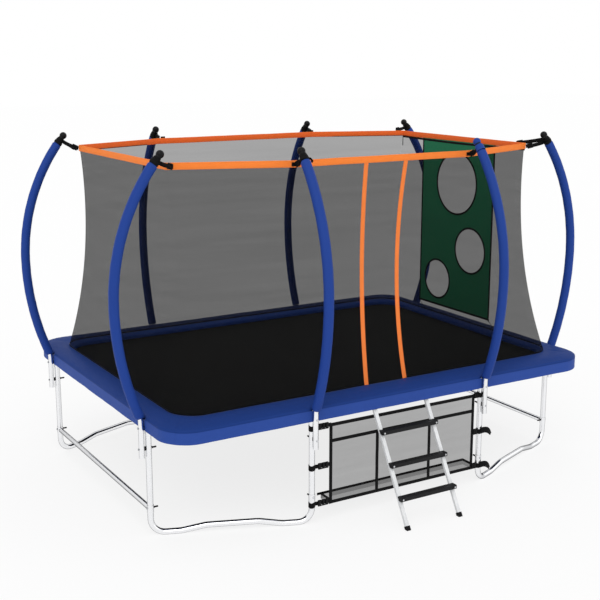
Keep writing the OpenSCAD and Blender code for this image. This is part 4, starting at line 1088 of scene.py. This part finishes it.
bagSkin = Skin()
floorZ, lipZs = z0 + seat, np.linspace(z0 + seat, z0 + bag["lip"], 5)
section = [(face - seat, z) for z in np.linspace(z1, floorZ, 16)]
section += [(x, floorZ) for x in np.linspace(face - bag["turn"], rear + bag["turn"], 7)]
section += [(rear + seat, z) for z in lipZs]
rows = []
for y in np.linspace(y0, y1, 40):
    row = np.array([(x, y, z) for x, z in section])
    x = row[:, 0]
    inside = np.clip((face - 0.002 - x) / 0.03, 0, 1) * np.clip((x - rear - 0.002) / 0.03, 0, 1)
    row[:, 2] -= bag["sag"] * bagSag(y) * inside
    row[:, 0] -= bagHollow(y, row[:, 2]) * (x > face - 0.002)
    rows.append(row)
bagSkin.grid("front", rows)
for y in (y0 + seat, y1 - seat):
    rows = [[(x, y, z) for z in lipZs] for x in np.linspace(rear + seat, face - seat, 8)]
    bagSkin.grid("front", rows)
bagNet = bagSkin.build("bag_net", "bagNet", replaced=["storage_net"], shell=False)

bagTapes = Skin()
crossZ = z0 + height * bag["cross"] + tape / 2


# a tape on the bag's face, following its slight hollow
def faceTape(a, b, across, lift=0.0):
    path = fine([(face + 0.0013 + lift, *a), (face + 0.0013 + lift, *b)], 0.03)
    path[:, 0] -= bagHollow(path[:, 1], path[:, 2])
    strap(bagTapes, "front", path, tape, bag["tapeThick"], across)


for z in (z0 + tape / 2, z1 - tape / 2):
    faceTape((y0, z), (y1, z), upward)
for y in (y0 + tape / 2, y1 - tape / 2):
    faceTape((y, z0), (y, z1), sideways, 0.0006)
faceTape((y0 + tape, crossZ), (y1 - tape, crossZ), upward)
for share in bag["dividers"]:
    y = y0 + width * share
    faceTape((y, z0 + tape), (y, crossZ - tape / 2), sideways, 0.0006)
backX, lipZ = rear - 0.0006, z0 + bag["lip"] - 0.010
for start, end in ([(backX, y0 - 0.030), (backX, y1)], [(backX, y0 + seat), (face - seat, y0 + seat)],
                   [(backX, y1 - seat), (face - seat, y1 - seat)]):
    path = fine([(*start, lipZ), (*end, lipZ)], 0.03)
    strap(bagTapes, "front", path, bag["lipTape"], bag["tapeThick"], upward)
bagTapes.build("bag_webbing", "webbing", replaced=["storage_webbing"])

# Clamps that hold the bag's ends to the front legs
clamp = {"loop": (0.038, 0.0028), "strap": (0.030, 0.0026), "out": 0.006, "barHigh": 0.045,
         "barThick": 0.014, "rail": (0.006, 0.010, 0.0014), "railLift": 0.0195,
         "leafWide": 0.045, "leafLong": 0.098, "leafThick": 0.0026,
         # distance from the leg and width of each bar
         "leftBars": ((0.060, 0.024), (0.092, 0.016), (0.121, 0.020)),
         "rightBars": ((0.036, 0.020), (0.056, 0.014))}


def makeClamp(tapes, buckles, s, z):
    legY, edge, r = s * bed["sideLeg"], y1 if s > 0 else y0, bed["legR"] + 0.0022
    a = fullTurn(30)
    loopPath = np.stack([railY + r * np.cos(a), legY + r * np.sin(a), z + 0.003 * np.sin(2 * a)], 1)
    strap(tapes, "front", loopPath, *clamp["loop"], upward, True)
    reach = fine([(railY, legY - s * (r + 0.001), z), (railY + 0.0035, edge + s * 0.004, z),
                  (railY + 0.0045, edge - s * 0.014, z)], 0.01)
    strap(tapes, "front", reach, *clamp["strap"], upward)
    # the ladder lock: upright bars on two rails
    bars = clamp["rightBars" if s > 0 else "leftBars"]
    for at, wide in bars:
        spot = np.array([railY + clamp["out"], legY - s * at, z])
        block(buckles, "front", spot, (upward, sideways, outwards), clamp["barHigh"], wide,
              clamp["barThick"], 0.002)
    span, at = bars[-1][0] - bars[0][0], (bars[-1][0] + bars[0][0]) / 2
    for lift in (-clamp["railLift"], clamp["railLift"]):
        spot = np.array([railY + clamp["out"], legY - s * at, z + lift])
        block(buckles, "front", spot, (sideways, upward, outwards), span, *clamp["rail"])
    # the strap's spare end: a folded leaf past the right leg, under the topmost clamp
    if s > 0 and z < z1 - 0.05:
        q = np.linspace(0, 1, 13)
        bow = 0.012 * np.sin(math.pi * q)
        for layer, droop in ((0.024, 0.030), (0.030, 0.042)):
            leaf = np.stack([railY + layer + bow, legY - 0.006 + clamp["leafLong"] * q,
                             z + 0.006 + bow - droop * q ** 2], 1)
            wide = clamp["leafWide"] - 0.020 * q ** 3
            profile = [tapeOutline(w, clamp["leafThick"]) for w in wide]
            tapes.grid("front", sweep(leaf, profile, upward), ring=True, caps=True)


clampTapes, clampBuckles = Skin(), Skin()
for z in (z1 - 0.010, (z0 + z1) / 2, z0 + 0.025):
    for s in (-1, 1):
        makeClamp(clampTapes, clampBuckles, s, z)
clampTapes.build("bag_straps", "webbing", replaced=["storage_straps"])
clampBuckles.build("bag_buckles", "plastic", crisp=25)
print("storage bag made")


# Floor, light and air

studio = {"floor": 60, "floorShine": 0.8, "air": 0.80, "paper": ((0.91, 0.91, 0.91), (0.93, 0.93, 0.93))}
floorMesh = bpy.data.meshes.new("floor")
far = studio["floor"]
floorMesh.from_pydata([(-far, -far, 0), (far, -far, 0), (far, far, 0), (-far, far, 0)], [], [(0, 1, 2, 3)])
floor = bpy.data.objects.new("floor", floorMesh)
scene.collection.objects.link(floor)
floor.location.z = -0.0005
paper = Finish("paleFloor")
tint = paper.mixed(paper.noise(paper.solidPlace(), 1.5), *studio["paper"])
shaded = paper.node("BsdfDiffuse", {}, {"Color": tint})
plain = paper.node("Emission", {}, {"Color": (1, 1, 1), "Strength": 1.0})
paper.show(paper.node("MixShader", {}, {0: paper.seen() * studio["floorShine"], 1: shaded, 2: plain}))
floorMesh.materials.append(paper.holder)

# the air is white to look at, and a little dimmer as light
air = Finish("studio", "worlds")
strength = air.seen() * (1 - studio["air"]) + studio["air"]
air.show(air.node("Background", {}, {"Color": (1, 1, 1), "Strength": strength}), "OutputWorld")
scene.world = air.holder


def softSun(name, strength, angle, aim):
    lamp = bpy.data.objects.new(name, bpy.data.lights.new(name, "SUN"))
    lamp.data.energy, lamp.data.angle = strength, math.radians(angle)
    lamp.rotation_mode = "QUATERNION"
    lamp.rotation_quaternion = Vector(aim).to_track_quat("-Z", "Y")
    scene.collection.objects.link(lamp)


softSun("keyLight", 0.95, 45, (0.55, 0.75, -0.95))
softSun("sideLight", 0.25, 60, (-0.8, 0.4, -0.5))

print("scene made")
